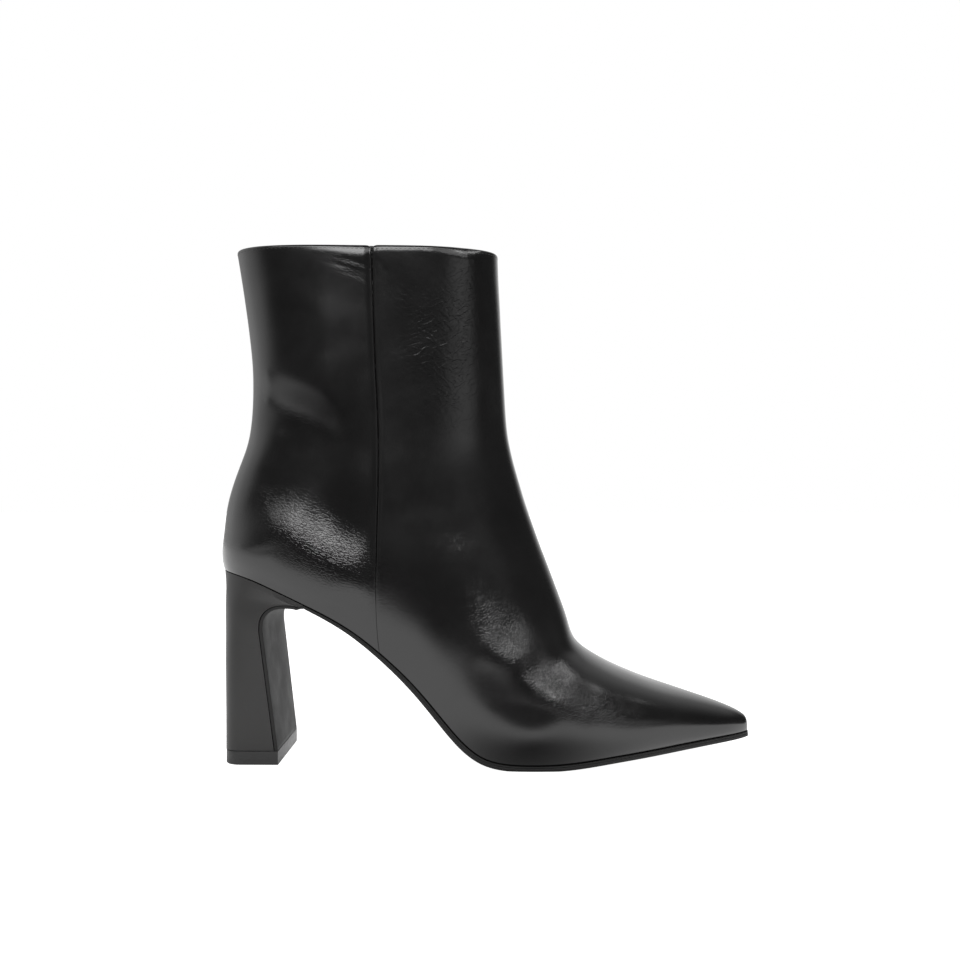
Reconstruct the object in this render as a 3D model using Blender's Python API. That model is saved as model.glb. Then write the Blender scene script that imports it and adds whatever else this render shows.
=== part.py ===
# Heeled ankle boot for the right foot, standing empty on its sole.
# Places are in millimetres: x from the back of the heel to the toe, y across with the
# medial side positive, z up from the floor.

import math

import bmesh
import bpy
import numpy as np

MILLIMETRE = 0.001

# Driving sizes in millimetres
BOOT_LENGTH = 239.8
BALL_WIDTH = 80.0
HEEL_HEIGHT = 84.3
COLLAR_HEIGHT = 227.6
WALL = 1.8
GAP = 0.3

# Sizes of the last that the tables below are drawn for
LAST_LENGTH = 239.8
LAST_BALL = 80.0
LAST_HEEL = 84.3
LAST_COLLAR = 227.6

# Outsole, insole, heel and tip
SOLE_THICK = 2.5
BREAST_THICK = 1.6
SOLE_LEDGE = 0.9
SOLE_BEVEL = 0.9
SOLE_EDGE_ROUND = 0.5
BREAST_BEVEL = 0.5
FILLET_RADIUS = 10.0
FILLET_CENTRE = (33.0, 59.4)
FILLET_START = math.radians(62)
BREAST_ANGLE = math.radians(187)
WAIST_END = 9.5
INSOLE_THICK = 2.6
INSOLE_INSET = 2.6
TIP_HEIGHT = 6.0
TIP_INSET = 0.1
TIP_BEVEL = 0.6
HEEL_CORNER = 6.5
HEEL_INSET = 0.2
LIP_ANGLE = math.radians(74)
BREAST_SHARE = 0.78
LIP_SHARE = 0.98

# Side seam: a groove with a rolled edge on each side
SEAM_DEPTH = 0.45
SEAM_ROLL = 0.35
SEAM_LIP = 0.6
SEAM_FADE = 2.6

# Grid of the upper
FORE_RINGS = 17
SEAM_ROWS = 20
FRONT_COLUMNS = 12
BACK_COLUMNS = 9
SOLE_STEPS = 38
END_STEPS = (0.0, 0.7, 2.2, 4.8)
FILLET_STEPS = 8
BREAST_STEPS = 5

# Colour and roughness of each piece
FINISH = {
    "upper": ((0.012, 0.012, 0.012), 0.38),
    "outsole": ((0.02, 0.02, 0.02), 0.55),
    "heel_block": ((0.015, 0.015, 0.015), 0.45),
    "heel_tip": ((0.05, 0.05, 0.05), 0.5),
    "insole": ((0.03, 0.03, 0.03), 0.8),
}

# Shares of a section at which its half-widths are given
WIDTH_SHARES = (0.2, 0.5, 0.8)

# Sections of the upper from the toe to the collar. Each one is a plane that holds the y
# direction and runs from the keel, the lower or back line of the closed form, to the ridge,
# its upper or front line. Half-widths are taken at 20, 50 and 80 per cent of the way.
SECTION_COLUMNS = (
    "keel_x", "keel_z", "ridge_x", "ridge_z", "swing",
    "low_out", "low_in", "mid_out", "mid_in", "top",
)
SECTIONS = (
    (239.2, 9.2, 239.2, 10.6, 4.1, 0.0, 0.0, 0.0, 0.0, 0.0),
    (238.6, 9.0, 238.9, 15.4, 4.1, 2.6, 2.6, 3.1, 3.1, 2.5),
    (236.0, 7.9, 236.7, 18.2, 4.1, 5.3, 5.3, 6.3, 6.3, 5.0),
    (230.2, 6.7, 231.5, 21.0, 4.0, 9.2, 9.1, 11.0, 10.9, 9.0),
    (218.9, 4.6, 221.2, 24.9, 3.8, 14.6, 14.4, 17.2, 17.0, 14.2),
    (204.2, 1.7, 207.5, 29.5, 3.4, 20.8, 20.3, 24.0, 23.6, 20.0),
    (188.7, -1.7, 193.8, 34.1, 2.7, 26.6, 25.9, 30.1, 29.6, 25.2),
    (171.8, -5.7, 180.5, 39.4, 1.8, 31.2, 31.0, 35.0, 34.8, 29.0),
    (153.2, -10.0, 168.5, 45.7, 0.9, 34.4, 35.2, 38.9, 38.9, 31.8),
    (135.9, -12.9, 160.6, 52.2, 0.3, 34.8, 35.8, 39.7, 39.9, 31.4),
    (117.3, -15.6, 156.8, 61.5, 0.0, 33.2, 32.6, 38.5, 37.6, 29.2),
    (97.9, -10.7, 151.2, 77.0, 0.0, 30.2, 27.2, 36.4, 34.6, 27.0),
    (78.4, 7.3, 145.2, 93.0, 0.0, 27.0, 23.6, 34.4, 32.2, 26.0),
    (56.2, 28.3, 139.1, 110.0, 0.0, 26.4, 24.6, 33.2, 31.6, 25.4),
    (33.0, 48.2, 133.7, 127.0, 0.0, 28.2, 27.6, 32.6, 31.8, 24.8),
    (11.6, 66.6, 130.1, 142.0, 0.0, 29.4, 29.2, 31.9, 31.5, 24.4),
    (0.5, 86.5, 128.9, 152.5, 0.0, 29.2, 29.2, 30.8, 30.7, 24.1),
    (0.9, 100.0, 128.3, 161.5, 0.0, 28.3, 28.3, 29.5, 29.5, 23.7),
    (2.8, 113.5, 127.8, 170.5, 0.0, 27.2, 27.2, 28.5, 28.5, 23.3),
    (6.6, 126.5, 127.4, 179.0, 0.0, 26.1, 26.1, 27.7, 27.7, 23.0),
    (11.5, 140.0, 127.0, 187.5, 0.0, 25.2, 25.2, 27.1, 27.1, 22.8),
    (13.7, 155.0, 126.5, 196.5, 0.0, 24.5, 24.5, 26.6, 26.6, 22.7),
    (13.8, 176.0, 126.0, 206.5, 0.0, 24.0, 24.0, 26.2, 26.2, 22.8),
    (11.0, 200.0, 125.5, 216.5, 0.0, 23.6, 23.6, 26.0, 26.0, 23.2),
    (6.7, 227.6, 125.2, 226.4, 0.0, 23.4, 23.4, 25.8, 25.8, 23.8),
)

# Line where the upper meets the sole and the heel
SEAT_COLUMNS = ("x", "z")
SEAT = (
    (-4.0, 84.9),
    (14.0, 81.4),
    (32.0, 74.2),
    (47.0, 67.2),
    (62.0, 58.6),
    (76.0, 47.6),
    (90.0, 34.2),
    (101.0, 21.6),
    (110.0, 11.7),
    (118.0, 5.7),
    (127.0, 3.1),
    (138.0, 2.5),
    (150.0, 2.7),
    (170.0, 4.5),
    (190.0, 6.4),
    (215.0, 8.7),
    (242.0, 10.8),
)

# How much of the ledge the outsole keeps along its length
LEDGE_COLUMNS = ("x", "share")
LEDGE = (
    (75.0, 0.15),
    (125.0, 1.0),
    (205.0, 0.9),
    (238.0, 0.35),
)

# Side seam from the collar to the sole
SEAM_COLUMNS = ("z", "x")
SEAM = (
    (40.0, 74.9),
    (56.0, 73.4),
    (80.0, 72.8),
    (110.0, 73.3),
    (140.0, 73.5),
    (170.0, 72.1),
    (227.0, 70.3),
)

# Heel block from its tip to the seat
HEEL_COLUMNS = ("share", "back_x", "back_z", "half_width", "roundness")
HEEL = (
    (0.0, 5.6, 6.3, 25.4, 0.0),
    (0.3, 5.4, 24.0, 25.8, 0.06),
    (0.6, 4.7, 46.0, 26.5, 0.25),
    (0.8, 3.7, 63.0, 27.2, 0.55),
    (1.0, 1.2, 83.6, 27.8, 1.0),
)


def spline(knots, values):
    """Natural cubic through the rows of a table."""
    knots = np.asarray(knots, float)
    values = np.asarray(values, float)
    count = len(knots)
    step = np.diff(knots)
    matrix = np.zeros((count, count))
    right = np.zeros_like(values)
    matrix[0, 0] = 1.0
    matrix[-1, -1] = 1.0
    for i in range(1, count - 1):
        matrix[i, i - 1] = step[i - 1]
        matrix[i, i] = 2.0 * (step[i - 1] + step[i])
        matrix[i, i + 1] = step[i]
        rise = (values[i + 1] - values[i]) / step[i]
        right[i] = 6.0 * (rise - (values[i] - values[i - 1]) / step[i - 1])
    bend = np.linalg.solve(matrix, right)

    def at(place):
        place = np.asarray(place, float)
        i = np.clip(np.searchsorted(knots, place) - 1, 0, count - 2)
        width = step[i]
        b = (place - knots[i]) / width
        a = 1.0 - b
        if values.ndim > 1:
            a, b, width = a[..., None], b[..., None], width[..., None]
        flat = a * values[i] + b * values[i + 1]
        return flat + width ** 2 / 6.0 * ((a ** 3 - a) * bend[i] + (b ** 3 - b) * bend[i + 1])

    return at


def listed(table, names, name):
    """Named column of one of the tables."""
    return np.array(table, float)[:, names.index(name)]


def scaled_length(x):
    """Lengths follow the boot from heel to toe."""
    return x * BOOT_LENGTH / LAST_LENGTH


def scaled_sections():
    """The section table brought to the driving sizes."""
    rows = np.array(SECTIONS, float)
    wide = BALL_WIDTH / LAST_BALL
    rows[:, (0, 2)] = scaled_length(rows[:, (0, 2)])
    rows[:, 4:] *= wide
    for column in (1, 3):
        rows[:, column] = scaled_height(rows[:, column])
    return rows


def scaled_height(z):
    """Heights follow the heel up to the seat and the collar above it."""
    below = np.minimum(z, LAST_HEEL) * HEEL_HEIGHT / LAST_HEEL
    shaft = (COLLAR_HEIGHT - HEEL_HEIGHT) / (LAST_COLLAR - LAST_HEEL)
    return below + np.maximum(z - LAST_HEEL, 0.0) * shaft


ROWS = scaled_sections()
STEPS = np.linalg.norm(np.diff(ROWS[:, 0:2], axis=0), axis=1)
STEPS += np.linalg.norm(np.diff(ROWS[:, 2:4], axis=0), axis=1)
STEPS = 0.5 * STEPS + np.abs(np.diff(ROWS[:, 7]))
KNOTS = np.concatenate([[0.0], np.cumsum(STEPS)])
LAST_KNOT = KNOTS[-1]
section_at = spline(KNOTS, ROWS)

seat_curve = spline(
    scaled_length(listed(SEAT, SEAT_COLUMNS, "x")), scaled_height(listed(SEAT, SEAT_COLUMNS, "z"))
)
seam_curve = spline(
    scaled_height(listed(SEAM, SEAM_COLUMNS, "z")), scaled_length(listed(SEAM, SEAM_COLUMNS, "x"))
)
heel_curve = spline(listed(HEEL, HEEL_COLUMNS, "share"), np.array(HEEL, float)[:, 1:])


def seat_normal(x):
    """Unit normal of the seat line, pointing up into the boot."""
    slope = (seat_curve(x + 0.5) - seat_curve(x - 0.5)) / 1.0
    size = np.sqrt(1.0 + slope ** 2)
    return -slope / size, 1.0 / size


def column(section, name):
    """Named column of the section table."""
    return section[..., SECTION_COLUMNS.index(name)]


def axis(section):
    """Keel point and the run from keel to ridge, in x and z."""
    x = column(section, "keel_x")
    z = column(section, "keel_z")
    return x, z, column(section, "ridge_x") - x, column(section, "ridge_z") - z


def ellipse(share):
    """Half-width of a unit ellipse at a share of its length."""
    return 2.0 * np.sqrt(np.clip(share * (1.0 - share), 0.0, None))


def half_width(section, share, side):
    """Half-width of a section: an ellipse swelled to pass through the three table widths."""
    flank = "_out" if side < 0 else "_in"
    widths = (column(section, "low" + flank), column(section, "mid" + flank), column(section, "top"))
    swell = 0.0
    for i, width in enumerate(widths):
        weight = 1.0
        for k in range(3):
            if k != i:
                weight = weight * (share - WIDTH_SHARES[k]) / (WIDTH_SHARES[i] - WIDTH_SHARES[k])
        swell = swell + width / ellipse(WIDTH_SHARES[i]) * weight
    return ellipse(share) * swell


def skin(place, share, side):
    """Point of the outer surface; side is -1 for lateral and 1 for medial."""
    section = section_at(place)
    share = np.asarray(share, float)
    x, z, along_x, along_z = axis(section)
    y = column(section, "swing") + side * half_width(section, share, side)
    return np.stack([x + along_x * share, y, z + along_z * share], axis=-1)


def seat_share(place):
    """Share of each section at which it meets the seat line."""
    x, z, along_x, along_z = axis(section_at(place))
    low = np.zeros_like(np.asarray(place, float))
    high = np.full_like(low, 0.98)

    def height(share):
        return z + along_z * share - seat_curve(x + along_x * share)

    closed = height(low) >= 0.0
    for _ in range(44):
        middle = 0.5 * (low + high)
        above = height(middle) > 0.0
        high = np.where(above, middle, high)
        low = np.where(above, low, middle)
    return np.where(closed, 0.0, high)


def locate(x, z):
    """Section and share that pass through a place in the side view."""
    x = np.asarray(x, float)
    z = np.asarray(z, float)
    low = np.zeros_like(x)
    high = np.full_like(x, LAST_KNOT)
    for _ in range(48):
        middle = 0.5 * (low + high)
        keel_x, keel_z, along_x, along_z = axis(section_at(middle))
        ahead = along_x * (z - keel_z) - along_z * (x - keel_x) > 0.0
        low = np.where(ahead, middle, low)
        high = np.where(ahead, high, middle)
    place = 0.5 * (low + high)
    keel_x, keel_z, along_x, along_z = axis(section_at(place))
    share = (x - keel_x) * along_x + (z - keel_z) * along_z
    return place, np.clip(share / (along_x ** 2 + along_z ** 2), 0.0, 1.0)


# Feather line: where the upper stands on the sole, from the toe to the back of the heel
SCAN = np.linspace(0.0, LAST_KNOT, 1601)
SCAN_SHARE = seat_share(SCAN)
BACK_INDEX = int(np.argmax(SCAN_SHARE <= 0.0))
FEATHER_PLACE = SCAN[:BACK_INDEX + 1]
FEATHER_OUT = skin(FEATHER_PLACE, SCAN_SHARE[:BACK_INDEX + 1], -1)
FEATHER_IN = skin(FEATHER_PLACE, SCAN_SHARE[:BACK_INDEX + 1], 1)
FEATHER_X = FEATHER_OUT[::-1, 0]
BACK_SECTION = section_at(SCAN[BACK_INDEX - 20:])
HEEL_BACK = FEATHER_X[0]
TOE_X = FEATHER_X[-1]


def feather(x):
    """Lateral and medial y of the feather line."""
    out = np.interp(x, FEATHER_X, FEATHER_OUT[::-1, 1])
    inner = np.interp(x, FEATHER_X, FEATHER_IN[::-1, 1])
    return out, inner


def back_x(z):
    """Back line of the upper."""
    return np.interp(z, BACK_SECTION[:, 1], BACK_SECTION[:, 0])


def collar_z(x):
    """Collar line, which falls slightly to the front."""
    first, last = ROWS[-1, 0:2], ROWS[-1, 2:4]
    return first[1] + (last[1] - first[1]) * (x - first[0]) / (last[0] - first[0])


def seam_foot():
    """Place where the side seam meets the seat line."""
    x = seam_curve(50.0)
    for _ in range(12):
        x = seam_curve(seat_curve(x))
    return float(x)


def spread(length, count):
    """Distances along a row: two close to its start for the seam, then even ones."""
    first = min(SEAM_LIP, 0.05 * length)
    second = min(SEAM_FADE, 0.16 * length)
    return np.concatenate([[0.0, first], np.linspace(second, length, count)])


def front_row(place, share, side):
    """Points and seam distances from the feather or seam up to the ridge."""
    turn = np.linspace(math.acos(1.0 - 2.0 * share), math.pi, 400)
    fine = skin(np.full(400, place), 0.5 - 0.5 * np.cos(turn), side)
    walked = np.concatenate([[0.0], np.cumsum(np.linalg.norm(np.diff(fine, axis=0), axis=1))])
    wanted = spread(walked[-1], FRONT_COLUMNS)
    points = np.stack([np.interp(wanted, walked, fine[:, k]) for k in range(3)], axis=1)
    return points, wanted


def back_row(share, side):
    """Points and seam distances from the seam round to the middle of the back."""
    foot = seam_foot()
    seam_z = seat_curve(foot) + (collar_z(foot) - seat_curve(foot)) * share
    start = seam_curve(seam_z) if share > 0.0 else foot
    end = HEEL_BACK
    for _ in range(8):
        end_z = seat_curve(end) + (collar_z(end) - seat_curve(end)) * share
        end = back_x(end_z)
    turn = np.linspace(0.0, 0.5 * math.pi, 400)
    x = start + (end - start) * np.sin(turn)
    z = seat_curve(x) + (collar_z(x) - seat_curve(x)) * share
    z[0] = seam_z
    place, section_share = locate(x, z)
    fine = skin(place, section_share, side)
    fine[:, 0] = x
    fine[:, 2] = z
    fine[-1, 1] = 0.0
    walked = np.concatenate([[0.0], np.cumsum(np.linalg.norm(np.diff(fine, axis=0), axis=1))])
    wanted = spread(walked[-1], BACK_COLUMNS)
    points = np.stack([np.interp(wanted, walked, fine[:, k]) for k in range(3)], axis=1)
    return points, wanted


def seam_relief(distance, z):
    """Height of the seam's groove and rolled edges above the smooth skin."""
    groove = -SEAM_DEPTH * np.clip(1.0 - distance / SEAM_LIP, 0.0, 1.0)
    roll = SEAM_ROLL * np.clip((SEAM_FADE - distance) / (SEAM_FADE - SEAM_LIP), 0.0, 1.0)
    roll = roll * np.clip(distance / SEAM_LIP, 0.0, 1.0)
    fade = np.clip((z - seat_curve(seam_foot())) / 12.0, 0.0, 1.0)
    return (groove + roll) * fade


def upper_grid():
    """Rows of the front panel and the back panel, with the distance to the seam."""
    foot = seam_foot()
    foot_place, foot_share = locate(foot, seat_curve(foot))
    front, front_far = [], []
    for i in range(1, FORE_RINGS + 1):
        place = float(foot_place) * (i / FORE_RINGS) ** 1.25
        if i == FORE_RINGS:
            share = float(foot_share)
        else:
            share = float(seat_share(np.array(place)))
        out, far = front_row(place, share, -1)
        inner, _ = front_row(place, share, 1)
        front.append(np.concatenate([out, inner[-2::-1]]))
        front_far.append(np.full(2 * len(far) - 1, SEAM_FADE))
    back, back_far = [], []
    for k in range(SEAM_ROWS + 1):
        share = k / SEAM_ROWS
        out, far = back_row(share, -1)
        inner, _ = back_row(share, 1)
        back.append(np.concatenate([out, inner[-2::-1]]))
        back_far.append(np.concatenate([far, far[-2::-1]]))
        if k == 0:
            continue
        place, section_share = locate(out[0, 0], out[0, 2])
        out, far = front_row(float(place), float(section_share), -1)
        inner, _ = front_row(float(place), float(section_share), 1)
        front.append(np.concatenate([out, inner[-2::-1]]))
        front_far.append(np.concatenate([far, far[-2::-1]]))
    return np.array(front), np.array(front_far), np.array(back), np.array(back_far)


def upper_mesh():
    """Vertices and faces of the hollow upper."""
    front, front_far, back, back_far = upper_grid()
    tip = skin(np.array(0.0), np.array(0.5), 1)
    tip[2] = seat_curve(tip[0])
    rings, columns = front.shape[:2]
    rows, around = back.shape[:2]
    points = [tip]
    relief = [0.0]
    front_id = np.zeros((rings + 1, columns), int)
    for i in range(rings):
        for j in range(columns):
            front_id[i + 1, j] = len(points)
            points.append(front[i, j])
            relief.append(float(seam_relief(front_far[i, j], front[i, j, 2])))
    back_id = np.zeros((rows, around), int)
    for k in range(rows):
        back_id[k, 0] = front_id[FORE_RINGS + k, 0]
        back_id[k, -1] = front_id[FORE_RINGS + k, -1]
        for m in range(1, around - 1):
            back_id[k, m] = len(points)
            points.append(back[k, m])
            relief.append(float(seam_relief(back_far[k, m], back[k, m, 2])))
    points = np.array(points)
    relief = np.array(relief)
    faces = []
    for j in range(columns - 1):
        faces.append((0, front_id[1, j + 1], front_id[1, j]))
    for i in range(1, rings):
        for j in range(columns - 1):
            faces.append((
                front_id[i, j], front_id[i, j + 1], front_id[i + 1, j + 1], front_id[i + 1, j],
            ))
    for k in range(rows - 1):
        for m in range(around - 1):
            faces.append((
                back_id[k, m], back_id[k + 1, m], back_id[k + 1, m + 1], back_id[k, m + 1],
            ))
    normals = np.zeros_like(points)
    for face in faces:
        corner = points[list(face)]
        area = np.cross(corner[2] - corner[0], corner[-1] - corner[1])
        for vertex in face:
            normals[vertex] += area
    normals /= np.linalg.norm(normals, axis=1)[:, None]
    if normals[front_id[2, columns // 2], 2] < 0.0:
        normals = -normals
    count = len(points)
    vertices = np.concatenate([points + normals * relief[:, None], points - normals * WALL])
    inside = [tuple(vertex + count for vertex in face[::-1]) for face in faces]
    bottom = [front_id[i, 0] for i in range(FORE_RINGS, 0, -1)] + [0]
    bottom += [front_id[i, -1] for i in range(1, FORE_RINGS + 1)]
    bottom += [back_id[0, m] for m in range(around - 2, 0, -1)]
    collar = [front_id[-1, j] for j in range(columns)]
    collar += [back_id[-1, m] for m in range(around - 2, 0, -1)]
    rims = []
    for loop in (bottom, collar):
        for here, there in zip(loop, loop[1:] + loop[:1]):
            rims.append((here, there, there + count, here + count))
    return vertices, faces + inside + rims


def loft(rings):
    """Closed skin over rings of paired points, capped across at both ends."""
    count = len(rings[0])
    vertices = [point for ring in rings for point in ring]
    faces = []
    for i in range(len(rings) - 1):
        for j in range(count):
            k = (j + 1) % count
            faces.append((i * count + j, i * count + k, (i + 1) * count + k, (i + 1) * count + j))
    for start in (0, (len(rings) - 1) * count):
        for j in range(count // 2 - 1):
            faces.append((
                start + j, start + j + 1, start + count - 2 - j, start + count - 1 - j,
            ))
    return np.array(vertices), faces


def offset_feather(grow):
    """Feather line moved outwards in plan, as x and y of its lateral and medial halves."""
    halves = []
    for line, side in ((FEATHER_OUT, -1.0), (FEATHER_IN, 1.0)):
        run = np.gradient(line[:, 0])
        rise = np.gradient(line[:, 1]) * side
        size = np.sqrt(run ** 2 + rise ** 2)
        far = grow(line[:, 0]) if callable(grow) else np.full(len(line), grow)
        x = line[:, 0] + far * rise / size
        y = line[:, 1] - side * far * run / size
        order = np.argsort(x)
        halves.append((x[order], y[order]))
    return halves


def plate_ring(anchor, normal, thick, out, inner, bevel):
    """Cross-section of a plate: lateral edge, top and medial edge."""
    width = inner - out
    top_round = min(SOLE_EDGE_ROUND, 0.3 * width)
    bevel = min(bevel, 0.3 * width)
    side_low = min(bevel, 0.4 * thick)
    side_high = thick - 0.6 * top_round
    profile = (
        (out + bevel, 0.0),
        (out, side_low),
        (out, side_high),
        (out + top_round, thick),
        (inner - top_round, thick),
        (inner, side_high),
        (inner, side_low),
        (inner - bevel, 0.0),
    )
    return [
        (anchor[0] + normal[0] * high, y, anchor[1] + normal[1] * high) for y, high in profile
    ]


def sole_stations(first, last, close):
    """Places along the seat, evenly walked, with closer ones at the rounded ends."""
    fine = np.linspace(HEEL_BACK, TOE_X, 800)
    steps = np.hypot(np.diff(fine), np.diff(seat_curve(fine)))
    walked = np.concatenate([[0.0], np.cumsum(steps)])
    shared = np.interp(np.linspace(0.0, walked[-1], SOLE_STEPS + 1), walked, fine)
    ends = [last - far for far in END_STEPS]
    if close:
        ends += [first + far for far in END_STEPS]
    else:
        ends.append(first)
    inside = (shared > first + END_STEPS[-1] * 1.4) & (shared < last - END_STEPS[-1] * 1.4)
    return np.sort(np.concatenate([shared[inside], ends]))


def sole_ledge(x):
    """How far the outsole stands out past the upper."""
    places = scaled_length(listed(LEDGE, LEDGE_COLUMNS, "x"))
    return SOLE_LEDGE * np.interp(x, places, listed(LEDGE, LEDGE_COLUMNS, "share"))


def outsole_rings():
    """Sole from the toe through the arch, round the fillet and down the heel's breast."""
    rings = []
    (out_x, out_y), (in_x, in_y) = offset_feather(sole_ledge)
    toe_end = min(out_x[-1], in_x[-1]) - 0.05
    waist_end = FILLET_CENTRE[0] + WAIST_END
    depth = GAP + SOLE_THICK
    for x in sole_stations(waist_end, toe_end, False)[::-1]:
        nx, nz = seat_normal(x)
        top = (float(x - nx * GAP), float(seat_curve(x) - nz * GAP))
        bottom = (float(x - nx * depth), max(float(seat_curve(x) - nz * depth), 0.0))
        thick = math.hypot(top[0] - bottom[0], top[1] - bottom[1])
        normal = ((top[0] - bottom[0]) / thick, (top[1] - bottom[1]) / thick)
        out = float(np.interp(x, out_x, out_y))
        inner = float(np.interp(x, in_x, in_y))
        rings.append(plate_ring(bottom, normal, thick, out, inner, SOLE_BEVEL))
    last_out, last_in = out, inner
    foot_half = heel_half(0.0)
    for i in range(FILLET_STEPS + 1):
        turned = i / FILLET_STEPS
        angle = FILLET_START + (BREAST_ANGLE - FILLET_START) * turned
        normal = (math.cos(angle), math.sin(angle))
        anchor = (
            FILLET_CENTRE[0] + FILLET_RADIUS * normal[0],
            FILLET_CENTRE[1] + FILLET_RADIUS * normal[1],
        )
        thick = sheet_thick(angle)
        half = heel_half(0.85)
        out = last_out + (-half - last_out) * turned
        inner = last_in + (half - last_in) * turned
        rings.append(plate_ring(anchor, normal, thick, out, inner, BREAST_BEVEL))
    foot = breast_foot()
    for i in range(1, BREAST_STEPS + 1):
        down = i / BREAST_STEPS
        spot = tuple(a + (b - a) * down for a, b in zip(anchor, foot))
        wide = half + (foot_half - half) * down
        rings.append(plate_ring(spot, normal, BREAST_THICK, -wide, wide, BREAST_BEVEL))
    return rings


def sheet_thick(angle):
    """Thickness of the sole sheet on its way round the fillet."""
    turned = (angle - FILLET_START) / (BREAST_ANGLE - FILLET_START)
    return SOLE_THICK + (BREAST_THICK - SOLE_THICK) * turned


def breast_foot():
    """Lower end of the breast, just above the heel tip."""
    down = (FILLET_CENTRE[1] + FILLET_RADIUS * math.sin(BREAST_ANGLE)) - (TIP_HEIGHT + GAP)
    start = FILLET_CENTRE[0] + FILLET_RADIUS * math.cos(BREAST_ANGLE)
    return start + down * math.tan(BREAST_ANGLE - math.pi), TIP_HEIGHT + GAP


def heel_half(share):
    """Half-width of the heel block at a share of its height."""
    return float(heel_curve(share)[2])


def block_outline(length, half):
    """Half outline of the heel's foot, from the breast's corner to the middle of the back."""
    points = [(1.0 - k * (1.0 - HEEL_CORNER / length) / 4.0, half) for k in range(4)]
    for k in range(6):
        turn = 0.5 * math.pi * k / 5.0
        along = HEEL_CORNER * (1.0 - math.sin(turn)) / length
        points.append((along, half - HEEL_CORNER * (1.0 - math.cos(turn))))
    points += [(0.0, 0.5 * (half - HEEL_CORNER)), (0.0, 0.15 * half)]
    return np.array(points)


def seat_outline(side, lip, back, count):
    """Half outline of the heel seat, which follows the feather line."""
    turn = np.linspace(0.0, 0.5 * math.pi - 0.12, count)
    x = lip + (back - lip) * np.sin(turn)
    out, inner = feather(x + (HEEL_BACK - back) * (lip - x) / (lip - back))
    y = out if side < 0 else inner
    return np.stack([(x - back) / (lip - back), np.abs(y) - HEEL_INSET], axis=1)


def heel_levels():
    """Back and front of the heel block at each level, with its share of the height."""
    levels = []
    foot = breast_foot()
    top = (
        FILLET_CENTRE[0] + FILLET_RADIUS * math.cos(BREAST_ANGLE),
        FILLET_CENTRE[1] + FILLET_RADIUS * math.sin(BREAST_ANGLE),
    )
    behind = BREAST_THICK + GAP
    for k in range(BREAST_STEPS):
        up = k / BREAST_STEPS
        spot = (
            foot[0] + (top[0] - foot[0]) * up + behind * math.cos(BREAST_ANGLE),
            foot[1] + (top[1] - foot[1]) * up + behind * math.sin(BREAST_ANGLE) * up,
        )
        levels.append((BREAST_SHARE * up, spot))
    for k in range(FILLET_STEPS + 1):
        turned = k / FILLET_STEPS
        angle = BREAST_ANGLE + (LIP_ANGLE - BREAST_ANGLE) * turned
        radius = FILLET_RADIUS + sheet_thick(angle) + GAP
        spot = (
            FILLET_CENTRE[0] + radius * math.cos(angle),
            FILLET_CENTRE[1] + radius * math.sin(angle),
        )
        levels.append((BREAST_SHARE + (LIP_SHARE - BREAST_SHARE) * turned, spot))
    lip_x = levels[-1][1][0] + 0.2
    levels.append((1.0, (lip_x, float(seat_curve(lip_x)) - GAP)))
    return levels


def heel_rings():
    """Heel block from its foot to the seat."""
    rings = []
    levels = heel_levels()
    lip = levels[-1][1]
    seat_back = float(heel_curve(1.0)[0])
    for share, front in levels:
        back_x_here, back_z, half, roundness = (float(v) for v in heel_curve(share))
        if share == 1.0:
            back_z = float(seat_curve(back_x_here)) - GAP
        length = front[0] - back_x_here
        foot = block_outline(length, half)
        ring = []
        for side in (-1.0, 1.0):
            seat = seat_outline(side, lip[0], seat_back, len(foot))
            half_ring = []
            for (foot_s, foot_y), (seat_s, seat_y) in zip(foot, seat):
                s = foot_s + (seat_s - foot_s) * roundness
                y = foot_y + (seat_y - foot_y) * roundness
                x = back_x_here + length * s
                z = back_z + (front[1] - back_z) * s
                top_x = seat_back + (lip[0] - seat_back) * s
                top_back = float(seat_curve(seat_back)) - GAP
                bow = float(seat_curve(top_x)) - GAP - (top_back + (lip[1] - top_back) * s)
                half_ring.append((x, side * y, z + bow * share ** 4))
            ring += half_ring if side < 0 else half_ring[::-1]
        rings.append(ring)
    return rings


def tip_rings():
    """Heel tip from the floor to just under the block."""
    rings = []
    back, half = float(heel_curve(0.0)[0]) + TIP_INSET, heel_half(0.0) - TIP_INSET
    front = breast_foot()[0]
    for inset, z in ((TIP_BEVEL, 0.0), (0.0, TIP_BEVEL), (0.0, TIP_HEIGHT)):
        outline = block_outline(front - back - inset, half - inset)
        run = [(back + inset + (front - back - inset) * s, y) for s, y in outline]
        ring = [(x, -y, z) for x, y in run] + [(x, y, z) for x, y in run[::-1]]
        rings.append(ring)
    return rings


def insole_rings():
    """Insole board inside the upper, from the heel to the toe."""
    rings = []
    (out_x, out_y), (in_x, in_y) = offset_feather(-INSOLE_INSET)
    first = max(out_x[0], in_x[0]) + 0.1
    last = min(out_x[-1], in_x[-1]) - 0.1
    for x in sole_stations(first, last, True):
        nx, nz = seat_normal(x)
        anchor = (float(x), float(seat_curve(x)))
        out = float(np.interp(x, out_x, out_y))
        inner = float(np.interp(x, in_x, in_y))
        rings.append(plate_ring(anchor, (float(nx), float(nz)), INSOLE_THICK, out, inner, 0.3))
    return rings


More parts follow.
